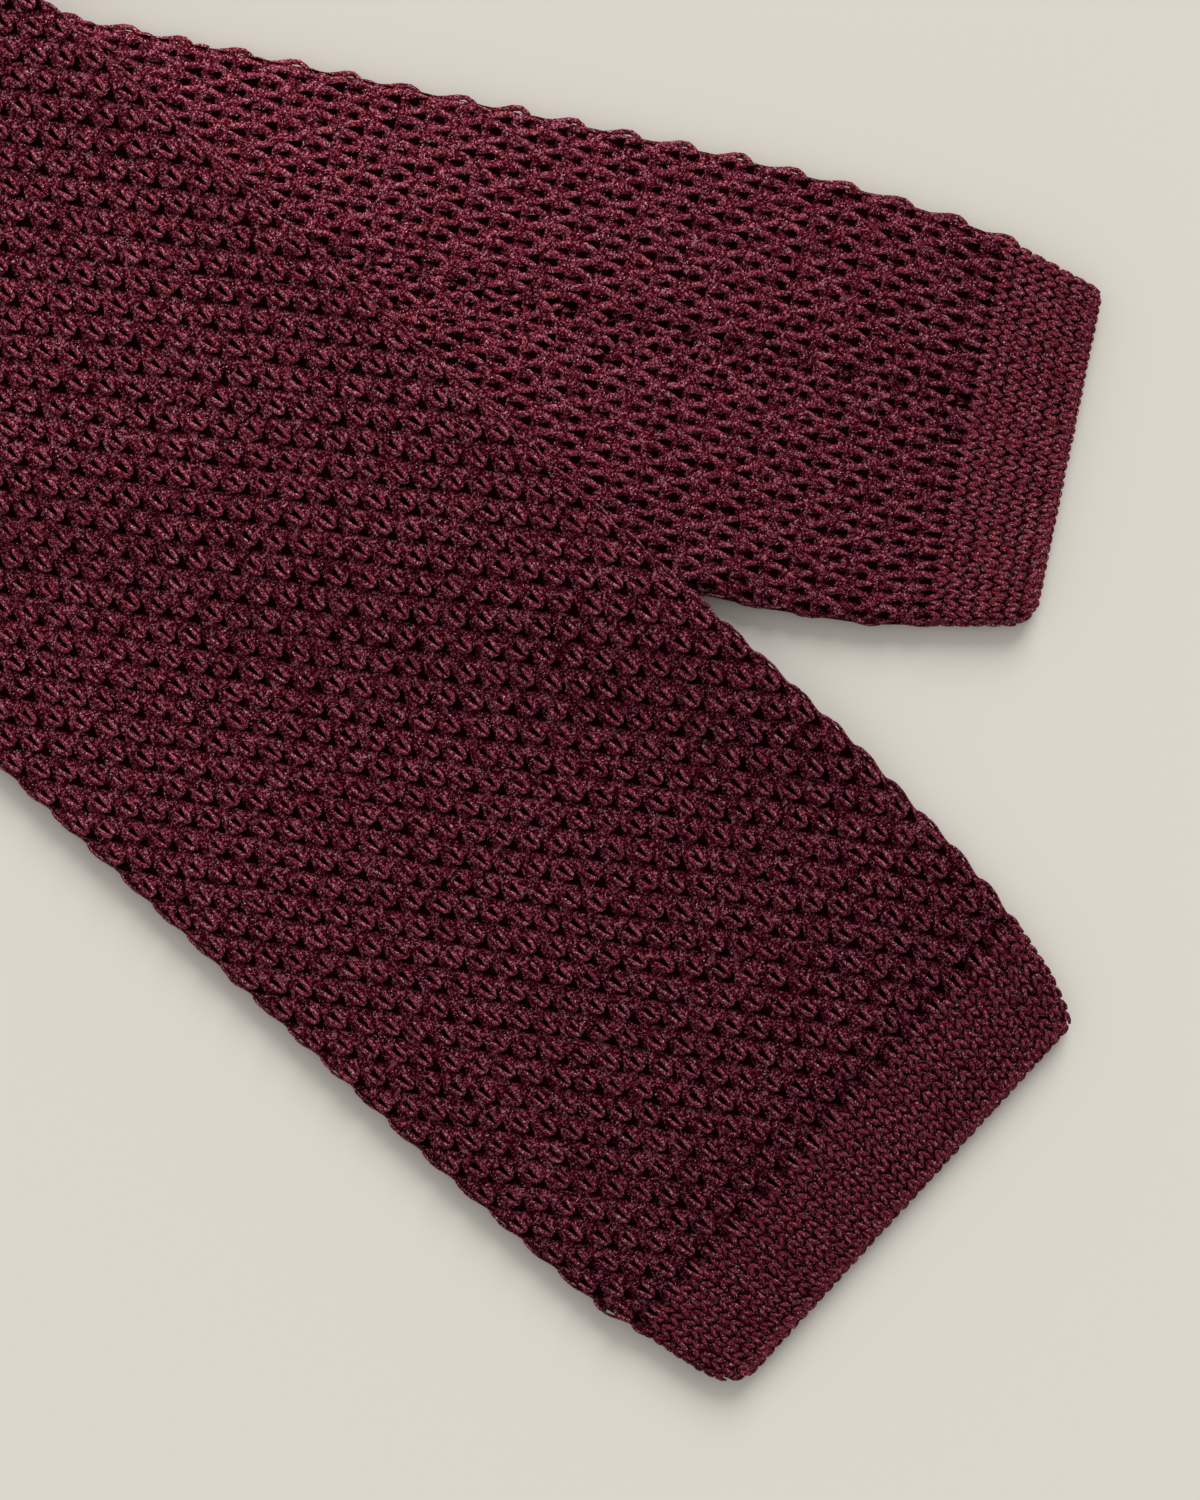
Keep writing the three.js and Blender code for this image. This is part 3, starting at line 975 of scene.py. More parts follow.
@dataclass(frozen=True)
class YarnFinish:
    """Twisted silky yarn with painted highlights: glinting specks in its colour, and its brightest fibres
    partly painted sheen.
    """

    name: str
    deep: Colour = (0.026, 0.0018, 0.0040)
    mid: Colour = (0.125, 0.0095, 0.0215)
    light: Colour = (0.250, 0.0370, 0.0600)
    # The brightest fibre colour is partly painted sheen; the next is the painted glints' colour.
    pale_and_sheen: Colour = (0.450, 0.1700, 0.2000)
    painted_glint: Colour = (0.700, 0.4800, 0.5000)
    roughness: float = 0.6
    brightness: float = 1.0
    speckle: float = 3.3
    plies: float = 2.0
    twist: float = 1.6
    uneven: float = 0.10
    middle: float = 0.44
    glints: tuple[float, float, float] = (0.67, 0.73, 0.9)
    painted_falloff: tuple[FalloffRow, ...] = ()

    def material(self) -> bpy.types.Material:
        """The yarn's material."""
        graph = Graph(self.name)
        place = graph.node("ShaderNodeTexCoord").output("Object")
        shade = graph.node("ShaderNodeAttribute", {"attribute_name": "shade"}).output("Fac")
        spot = graph.node("ShaderNodeUVMap", {"uv_map": "UVMap"})
        parts = graph.node("ShaderNodeSeparateXYZ", None, {"Vector": spot})
        ply = parts * self.plies + parts.output("Y") * self.twist + shade * 3
        ridge = graph.node("ShaderNodeMath", {"operation": "SINE"}, {0: ply * (2 * math.pi)}) * 0.5 + 0.5
        fibre = graph.noise(place, FIBRE_SCALE, 2.0, 0.75)
        tone = fibre * self.speckle + ridge * 0.06 + shade * self.uneven + (self.middle - self.speckle / 2)
        # Random fibre colours; the brightest stop is partly painted sheen.
        stops = [(0.18, self.deep), (0.46, self.mid), (0.76, self.light), (1.0, self.pale_and_sheen)]
        colour = graph.node("ShaderNodeValToRGB", {"stops": stops}, {0: tone})
        # Painted highlights: glints mixed into the colour, while the specular stays low.
        glint_mask = graph.rise(graph.noise(place, GLINT_SCALE, 1.0), *self.glints)
        colour = graph.dye_and_painted_falloff(place, graph.mix(glint_mask, colour, self.painted_glint), self.brightness, self.painted_falloff)
        height = {"Height": fibre + ridge * 0.2, "Strength": 1.0, "Distance": BUMP_DEPTH}
        bump = graph.node("ShaderNodeBump", None, height)
        return graph.finish(
            Base_Color=colour, Roughness=self.roughness, Normal=bump, Specular_IOR_Level=0.03
        )


@dataclass(frozen=True)
class Pit:
    """A pit of the open knit in millimetres, painted dark as shade, wide at its base and pointed at its apex.

    Both are measured from the stitch that it belongs to, towards the stitch's tip.
    """

    base: float
    apex: float
    half_width: float


@dataclass(frozen=True)
class GroundFinish:
    """The matted yarn between the raised stitches, with the pits between them, both darkened by painted
    shade.

    Its map counts wales and rows, so the pits keep to the stitches.
    """

    name: str
    wale: float
    row: float
    pits: tuple[Pit, ...] = ()
    # Darker than the yarn's: partly the matted yarn's own colour, partly painted shade below the stitches.
    deep: Colour = (0.016, 0.0010, 0.0025)
    mid: Colour = (0.088, 0.0068, 0.0155)
    light: Colour = (0.205, 0.0320, 0.0510)
    # The brightest fibre colour is partly painted sheen; the next is the painted glints' colour.
    pale_and_sheen: Colour = (0.400, 0.1500, 0.1800)
    painted_glint: Colour = (0.650, 0.4500, 0.4700)
    # Painted shade: the nearly black colour inside the pits, and the strength of a fainter halo round them.
    pit_shade_colour: Colour = (0.0050, 0.0004, 0.0008)
    soft: float = 0.24
    halo_shade: float = 0.28
    speckle: float = 3.3
    matted: float = 1.9
    middle: float = 0.42
    glints: tuple[float, float, float] = (0.68, 0.735, 0.8)
    brightness: float = 1.0
    painted_falloff: tuple[FalloffRow, ...] = ()

    def material(self) -> bpy.types.Material:
        """The ground's material."""
        graph = Graph(self.name)
        place = graph.node("ShaderNodeTexCoord").output("Object")
        fibre = graph.noise(place, FIBRE_SCALE, 2.0, 0.75)
        ragged = graph.noise(place, RAGGED_SCALE, 2.0)
        tone = fibre * self.speckle + ragged * self.matted
        tone = tone + (self.middle - (self.speckle + self.matted) / 2)
        # Random fibre colours; the brightest stop is partly painted sheen.
        stops = [(0.18, self.deep), (0.48, self.mid), (0.78, self.light), (1.0, self.pale_and_sheen)]
        colour = graph.node("ShaderNodeValToRGB", {"stops": stops}, {0: tone})
        # Painted highlights: glints mixed into the colour of the matted yarn.
        glint_mask = graph.rise(graph.noise(place, GLINT_SCALE, 1.0), *self.glints)
        colour = graph.dye_and_painted_falloff(place, graph.mix(glint_mask, colour, self.painted_glint), self.brightness, self.painted_falloff)
        height = fibre + ragged
        if self.pits:
            # Painted shade: the pits are coloured nearly black, and the bump dents them too.
            shade = self._pit_shade(graph, place, ragged)
            colour = graph.mix(shade, colour, self.pit_shade_colour)
            height = height - shade * 2.0
        relief = {"Height": height, "Strength": 1.0, "Distance": BUMP_DEPTH}
        bump = graph.node("ShaderNodeBump", None, relief)
        return graph.finish(Base_Color=colour, Roughness=0.9, Normal=bump, Specular_IOR_Level=0.0)

    def _pit_shade(self, graph: Graph, place: Value, ragged: Value) -> Value:
        """Painted shade of the pits: 1 inside them and 0 outside, with ragged edges and a fainter halo round
        them.
        """
        drift = graph.noise(place, DRIFT_SCALE, 0.0)
        spot = graph.node("ShaderNodeUVMap", {"uv_map": "UVMap"})
        wales = graph.node("ShaderNodeSeparateXYZ", None, {"Vector": spot})
        rows = wales.output("Y")
        shade = None
        for pit in self.pits:
            middle = (pit.base + pit.apex) / 2
            shifted = rows + middle / self.row
            first = (wales + shifted) * 0.5
            second = (wales - shifted) * 0.5
            first = first - first.nearest()
            second = second - second.nearest()
            across = (first + second) * self.wale
            along = (first - second) * -self.row
            half = (pit.apex - pit.base) / 2
            share = along / (2 * half) + 0.5
            room = (1 - share) * pit.half_width - across.size()
            edge = room.least(half - along.size()) + (ragged - 0.5) + (drift - 0.5) * 0.5
            core = (edge / self.soft + 0.5).least(1.0)
            # A fainter painted shade as a halo round each pit.
            inside = core.most((edge / 0.9 + 0.55).least(self.halo_shade)).most(0.0)
            shade = inside if shade is None else shade.most(inside)
        return shade


class StitchTree:
    """Geometry Nodes that stand a stitch at each point and join them all into one mesh."""

    INPUTS = (
        ("Stitch", "NodeSocketObject", None),
        ("Turn", "NodeSocketFloat", 0.07),
        ("Seed", "NodeSocketInt", 1),
        ("Material", "NodeSocketMaterial", None),
    )

    def __init__(self) -> None:
        """Builds the tree."""
        self.tree = bpy.data.node_groups.new("stitch_field", "GeometryNodeTree")
        face = self.tree.interface
        face.new_socket("Geometry", in_out="INPUT", socket_type="NodeSocketGeometry")
        self.sockets: dict[str, str] = {}
        for name, kind, default in self.INPUTS:
            socket = face.new_socket(name, in_out="INPUT", socket_type=kind)
            if default is not None:
                socket.default_value = default
            self.sockets[name] = socket.identifier
        face.new_socket("Geometry", in_out="OUTPUT", socket_type="NodeSocketGeometry")
        entry = add_node(self.tree, "NodeGroupInput").outputs
        axes = self._node(
            "FunctionNodeAxesToRotation",
            {"primary_axis": "Z", "secondary_axis": "Y"},
            {"Primary Axis": self._attribute("out"), "Secondary Axis": self._attribute("along")},
        )
        least = self._node("ShaderNodeMath", {"operation": "MULTIPLY"}, {0: entry["Turn"], 1: -1.0})
        wobble = self._node(
            "FunctionNodeRandomValue",
            {"data_type": "FLOAT_VECTOR"},
            {"Min": least, "Max": entry["Turn"], "Seed": entry["Seed"]},
        )
        turn = self._node("FunctionNodeEulerToRotation", None, {0: wobble})
        rotation = self._node(
            "FunctionNodeRotateRotation", {"rotation_space": "LOCAL"}, {"Rotation": axes, "Rotate By": turn}
        )
        stitch = add_node(self.tree, "GeometryNodeObjectInfo", None, {"Object": entry["Stitch"]})
        standing = {
            "Points": entry["Geometry"],
            "Instance": stitch.outputs["Geometry"],
            "Rotation": rotation,
            "Scale": self._attribute("size"),
        }
        field_of = self._node("GeometryNodeInstanceOnPoints", None, standing)
        tone = self._node("FunctionNodeRandomValue", {"data_type": "FLOAT"}, {"Seed": entry["Seed"]})
        stored = self._node(
            "GeometryNodeStoreNamedAttribute",
            {"data_type": "FLOAT", "domain": "INSTANCE"},
            {"Geometry": field_of, "Name": "shade", "Value": tone},
        )
        real = self._node("GeometryNodeRealizeInstances", None, {"Geometry": stored})
        dressing = {"Geometry": real, "Material": entry["Material"]}
        dressed = self._node("GeometryNodeSetMaterial", None, dressing)
        add_node(self.tree, "NodeGroupOutput", None, {"Geometry": dressed})

    def _node(self, kind: str, settings: dict | None, inputs: dict) -> bpy.types.NodeSocket:
        """Adds a node, and gives its first output that is in use."""
        return first_output(add_node(self.tree, kind, settings, inputs))

    def _attribute(self, name: str) -> bpy.types.NodeSocket:
        """A vector attribute of the points."""
        return self._node("GeometryNodeInputNamedAttribute", {"data_type": "FLOAT_VECTOR"}, {"Name": name})

    def field(
        self,
        name: str,
        stitch: bpy.types.Object,
        places: Places,
        material: bpy.types.Material,
        seed: int,
        turn: float,
    ) -> bpy.types.Object:
        """Repeats a stitch over places as one plain mesh.

        Args:
            name: Name of the new piece.
            stitch: The stitch's object.
            places: Where the stitches stand.
            material: Their material.
            seed: Number that fixes their small turns.
            turn: Largest turn in radians.

        Returns:
            The new piece, in the scene.
        """
        points = bpy.data.meshes.new(name)
        points.from_pydata(places.points.tolist(), [], [])
        for attribute, values in (("out", places.out), ("along", places.along), ("size", places.size)):
            layer = points.attributes.new(attribute, "FLOAT_VECTOR", "POINT")
            layer.data.foreach_set("vector", values.astype(np.float32).ravel())
        holder = stage_piece(name + "_points", points)
        modifier = holder.modifiers.new("stitches", "NODES")
        modifier.node_group = self.tree
        for socket, value in (("Stitch", stitch), ("Turn", turn), ("Seed", seed), ("Material", material)):
            modifier[self.sockets[socket]] = value
        graph = bpy.context.evaluated_depsgraph_get()
        mesh = bpy.data.meshes.new_from_object(holder.evaluated_get(graph), depsgraph=graph)
        mesh.name = name
        holder.modifiers.remove(modifier)
        bpy.data.objects.remove(holder)
        bpy.data.meshes.remove(points)
        return stage_piece(name, mesh)


FRONT_LEG_PATH = (
    (0.58, -0.30, -0.15),
    (0.54, 0.08, 0.18),
    (0.50, 0.55, 0.38),
    (0.44, 1.00, 0.42),
    (0.29, 1.40, 0.34),
    (0.09, 1.66, 0.00),
)
FRONT_LEG_THICK = (0.18, 0.24, 0.28, 0.29, 0.28, 0.20)
LOW_LEG_PATH = ((0.60, 0.00, -0.05), (0.58, 0.80, 0.12), (0.40, 1.45, 0.12), (0.14, 2.15, -0.15))
TAIL_LEG_PATH = (
    (0.80, -0.60, -0.10),
    (0.78, 0.00, 0.08),
    (0.64, 0.55, 0.12),
    (0.44, 1.05, 0.12),
    (0.22, 1.55, -0.02),
)
TAIL_LEG_THICK = (0.26, 0.36, 0.40, 0.38, 0.26)
BAND_LEG_PATH = (
    (0.64, -0.72, 0.03),
    (0.46, -0.25, 0.32),
    (0.26, 0.25, 0.36),
    (0.08, 0.66, 0.05),
)
TAIL_BAND_LEG_PATH = (
    (0.74, -0.85, 0.02),
    (0.54, -0.35, 0.28),
    (0.28, 0.25, 0.34),
    (0.06, 0.75, 0.12),
)
SIDE_PATH = (
    (0.0, 2.90, 0.00),
    (0.0, 1.60, 0.15),
    (0.0, 0.30, 0.65),
    (0.0, -0.80, 1.15),
    (0.0, -1.70, 0.70),
    (0.0, -2.30, -0.05),
)
SIDE_THICK = (0.34, 0.45, 0.50, 0.50, 0.45, 0.34)
BAND_THICK = (0.20, 0.28, 0.28, 0.18)
TAIL_BAND_THICK = (0.26, 0.37, 0.37, 0.26)
EDGE_PATH = ((-0.75, 0.0, -0.20), (-0.35, 0.0, 0.0), (0.35, 0.0, 0.0), (0.75, 0.0, -0.20))
EDGE_THICK = (0.34, 0.48, 0.48, 0.34)


class Stitches:
    """The stitches that the fields repeat, finer where they are seen from near."""

    def __init__(self) -> None:
        """Builds each stitch once."""
        front = (FRONT_LEG_PATH, FRONT_LEG_THICK)
        tail = Strand(TAIL_LEG_PATH, TAIL_LEG_THICK, 4, 5, flat=0.6)
        edge = Strand(EDGE_PATH, EDGE_THICK, 4, 6, mirrored=False)
        strands = {
            "front": (1.80, 4.94, (Strand(*front, 5, 5),)),
            "front_plain": (1.80, 4.94, (Strand(*front, 3, 3),)),
            "tail": (1.42, 6.14, (tail,)),
            "low": (1.82, 4.93, (Strand(LOW_LEG_PATH, (0.30, 0.42, 0.42, 0.25), 2, 3),)),
            "front_band": (1.62, 1.36, (Strand(BAND_LEG_PATH, BAND_THICK, 3, 4),)),
            "tail_band": (1.50, 1.62, (Strand(TAIL_BAND_LEG_PATH, TAIL_BAND_THICK, 3, 5, flat=0.85),)),
            "edge": (1.62, 1.36, (edge,)),
            "side": (1.42, 6.14, (Strand(SIDE_PATH, SIDE_THICK, 6, 6, mirrored=False),)),
        }
        self.motifs = {name: Motif("stitch_" + name, *rest) for name, rest in strands.items()}
        self.objects = {name: motif.build() for name, motif in self.motifs.items()}


class Patch(NamedTuple):
    """A field of staggered stitches: name, stitch, lengths between which it lies, zone and seed."""

    name: str
    motif: str
    span: tuple[float, float]
    zone: Zone
    seed: int


STITCH_TURN = 0.07
LOOP_TURN = 0.03
BAND_TURN = 0.1


@dataclass
class Workshop:
    """What every sub-assembly needs to build its pieces."""

    lay: Lay
    knit: Knit
    tree: StitchTree
    stitches: Stitches
    finishes: dict[str, bpy.types.Material]
    triangles: int = 0

    def field(
        self,
        name: str,
        motif: str,
        places: Places,
        finish: str,
        slot: str,
        seed: int,
        turn: float = STITCH_TURN,
    ) -> bpy.types.Object:
        """One field of stitches as a finished piece.

        Args:
            name: The piece's name.
            motif: Which stitch it repeats.
            places: Where they stand.
            finish: Name of its finish.
            slot: The record's material slot, which is not used.
            seed: Number that fixes the small turns.
            turn: Largest turn in radians.

        Returns:
            The piece.
        """
        piece = self.tree.field(
            name, self.stitches.objects[motif], places, self.finishes[finish], seed, turn
        )
        return self.settle(piece, slot)

    def knitted(self, patches: Sequence[Patch], finish: str, slot: str) -> list[bpy.types.Object]:
        """Patches of staggered stitches as finished pieces.

        Args:
            patches: The patches.
            finish: Name of their finish.
            slot: The record's material slot, which is not used.

        Returns:
            The pieces.
        """
        pieces = []
        for name, motif, span, zone, seed in patches:
            places = self.knit.spread(self.stitches.motifs[motif], span, zone, seed)
            pieces.append(self.field(name, motif, places, finish, slot, seed))
        return pieces

    def loops(
        self,
        name: str,
        span: tuple[float, float],
        high: tuple[float, float],
        finish: str,
        slot: str,
        seed: int,
    ) -> bpy.types.Object:
        """Bulging loops along both long edges, as a finished piece.

        Args:
            name: The piece's name.
            span: Lengths between which the loops stand.
            high: How far they stand out on the left and right, as shares of their own height.
            finish: Name of their finish.
            slot: The record's material slot, which is not used.
            seed: Number that fixes the small irregularities.

        Returns:
            The piece.
        """
        places = self.knit.sides(self.stitches.motifs["side"], span, high, seed)
        return self.field(name, "side", places, finish, slot, seed, LOOP_TURN)

    def settle(self, piece: bpy.types.Object, slot: str) -> bpy.types.Object:
        """Puts a piece on the tie's body and reports it."""
        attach(piece, BODY)
        triangles = sum(len(p.vertices) - 2 for p in piece.data.polygons)
        self.triangles += triangles
        LOG.info("%s: %d triangles", piece.name, triangles)
        return piece


@dataclass
class Ground:
    """The cloth of a stretch of the sleeve, under its stitches."""

    shop: Workshop
    name: str
    node: str
    slot: str
    span: tuple[float, float]
    columns: int
    step: float = 6.0
    closed_end: float | None = None
    finish: str = "front_ground"
    outer: float = 0.98
    inner: float = 0.3
    arc_steps: int = 5
    slot_gap: float = 0.02

    def build(self) -> bpy.types.Object:
        """The cloth as a double-walled sleeve, closed at its end if it has one.

        Returns:
            The piece, which stands for its CAD node.
        """
        lay = self.shop.lay
        count = max(int(math.ceil(abs(self.span[1] - self.span[0]) / self.step)), 2)
        lengths = np.linspace(*self.span, count + 1)
        if self.span[0] < lay.fold_ends and self.span[1] > lay.sizes.front_leg:
            fold = lay.fold_lengths()
            rest = lengths[(lengths < fold[0] - 1) | (lengths > fold[-1] + 1)]
            lengths = np.sort(np.concatenate([rest, fold]))
        parts = MeshParts()
        outer = [self._loop(parts, length, self.outer) for length in lengths]
        inner = [self._loop(parts, length, self.inner) for length in lengths]
        for first, second in zip(outer, outer[1:]):
            parts.join(first, second, closed=False)
        for first, second in zip(inner, inner[1:]):
            parts.join(second, first, closed=False)
        for edge in (0, -1):
            sides = [(o[edge], i[edge]) for o, i in zip(outer, inner)]
            for (o1, i1), (o2, i2) in zip(sides, sides[1:]):
                parts.faces.append((o1, o2, i2, i1) if edge == 0 else (o2, o1, i1, i2))
        parts.join(inner[0], outer[0], closed=False)
        if self.closed_end is None:
            parts.join(outer[-1], inner[-1], closed=False)
        else:
            self._close(parts, outer[-1], inner[-1], lengths[-1])
        piece = stage_piece(self.name, parts.mesh(self.name))
        piece.data.materials.append(self.shop.finishes[self.finish])
        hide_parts(self.node)
        return self.shop.settle(piece, self.slot)

    def _loop(self, parts: MeshParts, length: float, radius: float) -> range:
        """Points of one skin's section, from the seam's right side round to its left."""
        lay = self.shop.lay
        sizes = lay.sizes
        left, right = (float(v) - sizes.thickness / 2 for v in lay.halves(np.array(length)))
        slot_right = sizes.seam_offset + sizes.seam_width / 2 + self.slot_gap
        slot_left = sizes.seam_offset - sizes.seam_width / 2 - self.slot_gap
        steps = self.columns // 2 + 1
        angles = np.linspace(0, math.pi, self.arc_steps + 2)[1:-1]
        turn = math.pi * self.shop.knit.radius
        rights = np.linspace(slot_right, right, steps)
        lefts = np.linspace(-left, slot_left, steps)
        across = np.concatenate(
            [
                rights,
                right + radius * np.sin(angles),
                np.linspace(right, 0, steps),
                np.linspace(0, -left, steps)[1:],
                -left - radius * np.sin(angles),
                lefts,
            ]
        )
        level = np.ones(steps)
        out = np.concatenate(
            [-level, -np.cos(angles), level, level[1:], np.cos(angles), -level]
        ) * radius
        girth = np.concatenate(
            [
                2 * right + turn - rights,
                right + turn * (1 - angles / math.pi),
                np.linspace(right, 0, steps),
                np.linspace(0, -left, steps)[1:],
                -left - turn * angles / math.pi,
                -2 * left - turn - lefts,
            ]
        )
        points = lay.place(np.full(len(across), length), across, out)
        spots = self.shop.knit.count(np.full(len(across), length), girth)
        start = parts.add(points, spots)
        return range(start, start + len(points))

    def _close(self, parts: MeshParts, outer: range, inner: range, last: float) -> None:
        """Closes the sleeve's end by one wall with a rounded brim."""
        parts.faces.append(tuple(inner) + (outer[-1], outer[0]))
        row = outer
        for brim in reversed(BRIM[:-1]):
            length = blend(self.closed_end, last, brim.at)
            following = self._loop(parts, float(length), self.outer * brim.thick)
            parts.join(row, following, closed=False)
            parts.faces.append((row[-1], row[0], following[0], following[-1]))
            row = following
        parts.faces.append(tuple(row))

    def lay_out(self) -> None:
        """Works out the width, length and area of the cloth's real flat sheet, and does nothing more with
        them.
        """
        lay = self.shop.lay
        last = self.span[1] if self.closed_end is None else self.closed_end
        left, right = lay.halves(np.linspace(self.span[0], last, 200))
        girth = 2 * (left + right) - lay.sizes.slot_width
        width = float(girth.max()) * MM
        length = abs(self.span[0] - last) * MM
        area = float(girth.mean()) * MM * length
        min(area, width * length)


@dataclass
class FrontBlade:
    """The wide blade, face up, with its open stitches."""

    shop: Workshop
    near: float = 178.0
    band_gap: float = 0.5
    loop_gap: float = 2.0

    def build(self) -> None:
        """Builds the cloth and its stitches."""
        shop, sizes = self.shop, self.shop.lay.sizes
        span = (sizes.front_band + sizes.gap, sizes.front_blade)
        ground = Ground(shop, "front_blade_cloth", "front_blade", FRONT_SLOT, span, 24)
        ground.build()
        near = (span[0] + self.band_gap, self.near)
        far = (self.near, span[1])
        patches = (
            Patch("front_blade_stitches", "front", near, Zone.FACE_AND_EDGES, 11),
            Patch("front_blade_upper_stitches", "front_plain", far, Zone.FACE_AND_EDGES, 13),
            Patch("front_blade_back_stitches", "low", span, Zone.BACK, 14),
        )
        pieces = shop.knitted(patches, "front_yarn", FRONT_SLOT)
        near = (near[0] + self.loop_gap, near[1])
        loops = shop.loops("front_blade_edge_loops", near, (0.55, 0.55), "front_yarn", FRONT_SLOT, 15)
        pieces.append(loops)
        ground.lay_out()


@dataclass
class NeckBand:
    """The narrow neck, folded once. Its cloth comes as near to the blades' cloth as its joint says."""

    shop: Workshop
    joint: float = 0.02

    def build(self) -> None:
        """Builds the cloth and its stitches."""
        shop, lay = self.shop, self.shop.lay
        sizes = lay.sizes
        span = (sizes.front_blade + self.joint, lay.length - sizes.tail_blade - self.joint)
        ground = Ground(shop, "neck_band_cloth", "neck_band", FRONT_SLOT, span, 12, 8.0)
        ground.build()
        middle = lay.fold_ends
        patches = (
            Patch("neck_band_stitches", "front_plain", (span[0], middle), Zone.FACE_AND_EDGES, 21),
            Patch("neck_band_inner_stitches", "low", (span[0], middle), Zone.BACK, 22),
            Patch("neck_band_lower_stitches", "low", (middle, span[1]), Zone.BACK_AND_EDGES, 23),
            Patch("neck_band_under_stitches", "low", (middle, span[1]), Zone.FACE, 24),
        )
        pieces = shop.knitted(patches, "front_yarn", FRONT_SLOT)
        ground.lay_out()


@dataclass
class TailBlade:
    """The narrow blade, back up, with its longer stitches."""

    shop: Workshop
    near: float = 172.0
    band_gap: float = 0.3

    def build(self) -> None:
        """Builds the cloth and its stitches."""
        shop, lay = self.shop, self.shop.lay
        sizes = lay.sizes
        span = (lay.length - sizes.tail_blade, lay.length - sizes.tail_band - sizes.gap)
        look = {"finish": "tail_ground", "outer": 1.15}
        ground = Ground(shop, "tail_blade_cloth", "tail_blade", BACK_SLOT, span, 18, **look)
        ground.build()
        cover = lay.length - self.near
        near = (cover, span[1] - self.band_gap)
        patches = (
            Patch("tail_blade_stitches", "tail", near, Zone.BACK_AND_EDGES, 31),
            Patch("tail_blade_covered_stitches", "low", (span[0], cover), Zone.BACK_AND_EDGES, 33),
            Patch("tail_blade_under_stitches", "low", span, Zone.FACE, 34),
        )
        pieces = shop.knitted(patches, "tail_yarn", BACK_SLOT)
        loops = shop.loops("tail_blade_edge_loops", near, (0.5, 1.0), "tail_yarn", BACK_SLOT, 35)
        pieces.append(loops)
        ground.lay_out()


class End(Enum):
    """The two ends of the tie."""

    FRONT = "front"
    TAIL = "tail"


class BumpRow(NamedTuple):
    """A row of bumps round an end: its way in from the end, out of the cloth's middle, and its lean."""

    into: float
    out: float
    lean: float


BUMP_ROWS = (BumpRow(0.15, 0.0, 0.0), BumpRow(0.60, 0.85, 1.2), BumpRow(0.60, -0.85, -1.2))


@dataclass
class EndBand:
    """A plain knitted band that closes one end."""

    shop: Workshop
    end: End
    joint: float = 0.02
    corner: float = 1.2
    bump: float = 1.62

    def build(self) -> None:
        """Builds the cloth, its stitches and the bumps along its edge."""
        shop, knit, lay = self.shop, self.shop.knit, self.shop.lay
        sizes = lay.sizes
        name = f"{self.end.value}_end_band"
        if self.end is End.FRONT:
            span = (sizes.front_band + sizes.gap - self.joint, sizes.wall)
            columns, closed_end, wales, tips = 24, 0.0, 38, 1
            rows = np.arange(0.95, sizes.front_band + 0.6, 1.30)
        else:
            span = (lay.length - sizes.tail_band - sizes.gap + self.joint, lay.length - sizes.wall)
            columns, closed_end, wales, tips = 18, lay.length, 34, -1
            rows = np.arange(lay.length - 1.1, lay.length - sizes.tail_band - 0.8, -1.62)
        ground = Ground(shop, name + "_cloth", name, BAND_SLOT, span, columns, 2.5, closed_end, "band_ground")
        ground.build()
        stitch = f"{self.end.value}_band"
        finish = stitch + "_yarn"
        motif = shop.stitches.motifs[stitch]
        for label, zone, seed in (("stitches", Zone.FACE_AND_EDGES, 41), ("back_stitches", Zone.BACK, 42)):
            places = knit.band(motif, rows, wales, tips, zone, seed)
            shop.field(f"{name}_{label}", stitch, places, finish, BAND_SLOT, seed, BAND_TURN)
        self._edge(wales, finish)
        ground.lay_out()

    def _edge(self, bumps: int, finish: str) -> bpy.types.Object:
        """Three rows of bumps round the very end."""
        lay = self.shop.lay
        end, inwards = (0.0, 1.0) if self.end is End.FRONT else (lay.length, -1.0)
        left, right = (float(v) for v in lay.halves(np.array(end + inwards * BUMP_ROWS[0].into)))
        gathered = []
        for row, (into, out_of, lean) in enumerate(BUMP_ROWS):
            across = np.linspace(-left + self.corner, right - self.corner, bumps + row % 2)
            level = np.full(len(across), out_of)
            length = np.full(len(across), end + inwards * into)
            points = lay.place(length, across, level)
            out = points - lay.place(length + inwards, across, level - lean)
            along = lay.place(length, across, level + 1) - points
            leaning = out * (along * out).sum(axis=1, keepdims=True)
            along = along - leaning / (out**2).sum(axis=1, keepdims=True)
            size = np.tile([(left + right) / bumps / self.bump, 1.0, 1.0], (len(across), 1))
            size *= np.random.default_rng(5 + row).normal(1, 0.06, size.shape)
            gathered.append((points, out, along, size))
        points, out, along, size = (np.vstack(columns) for columns in zip(*gathered))
        out, along = (v / np.linalg.norm(v, axis=1, keepdims=True) for v in (out, along))
        places = Places(points, out, along, size)
        name = f"{self.end.value}_end_edge"
        return self.shop.field(name, "edge", places, finish, BAND_SLOT, 43, BAND_TURN)


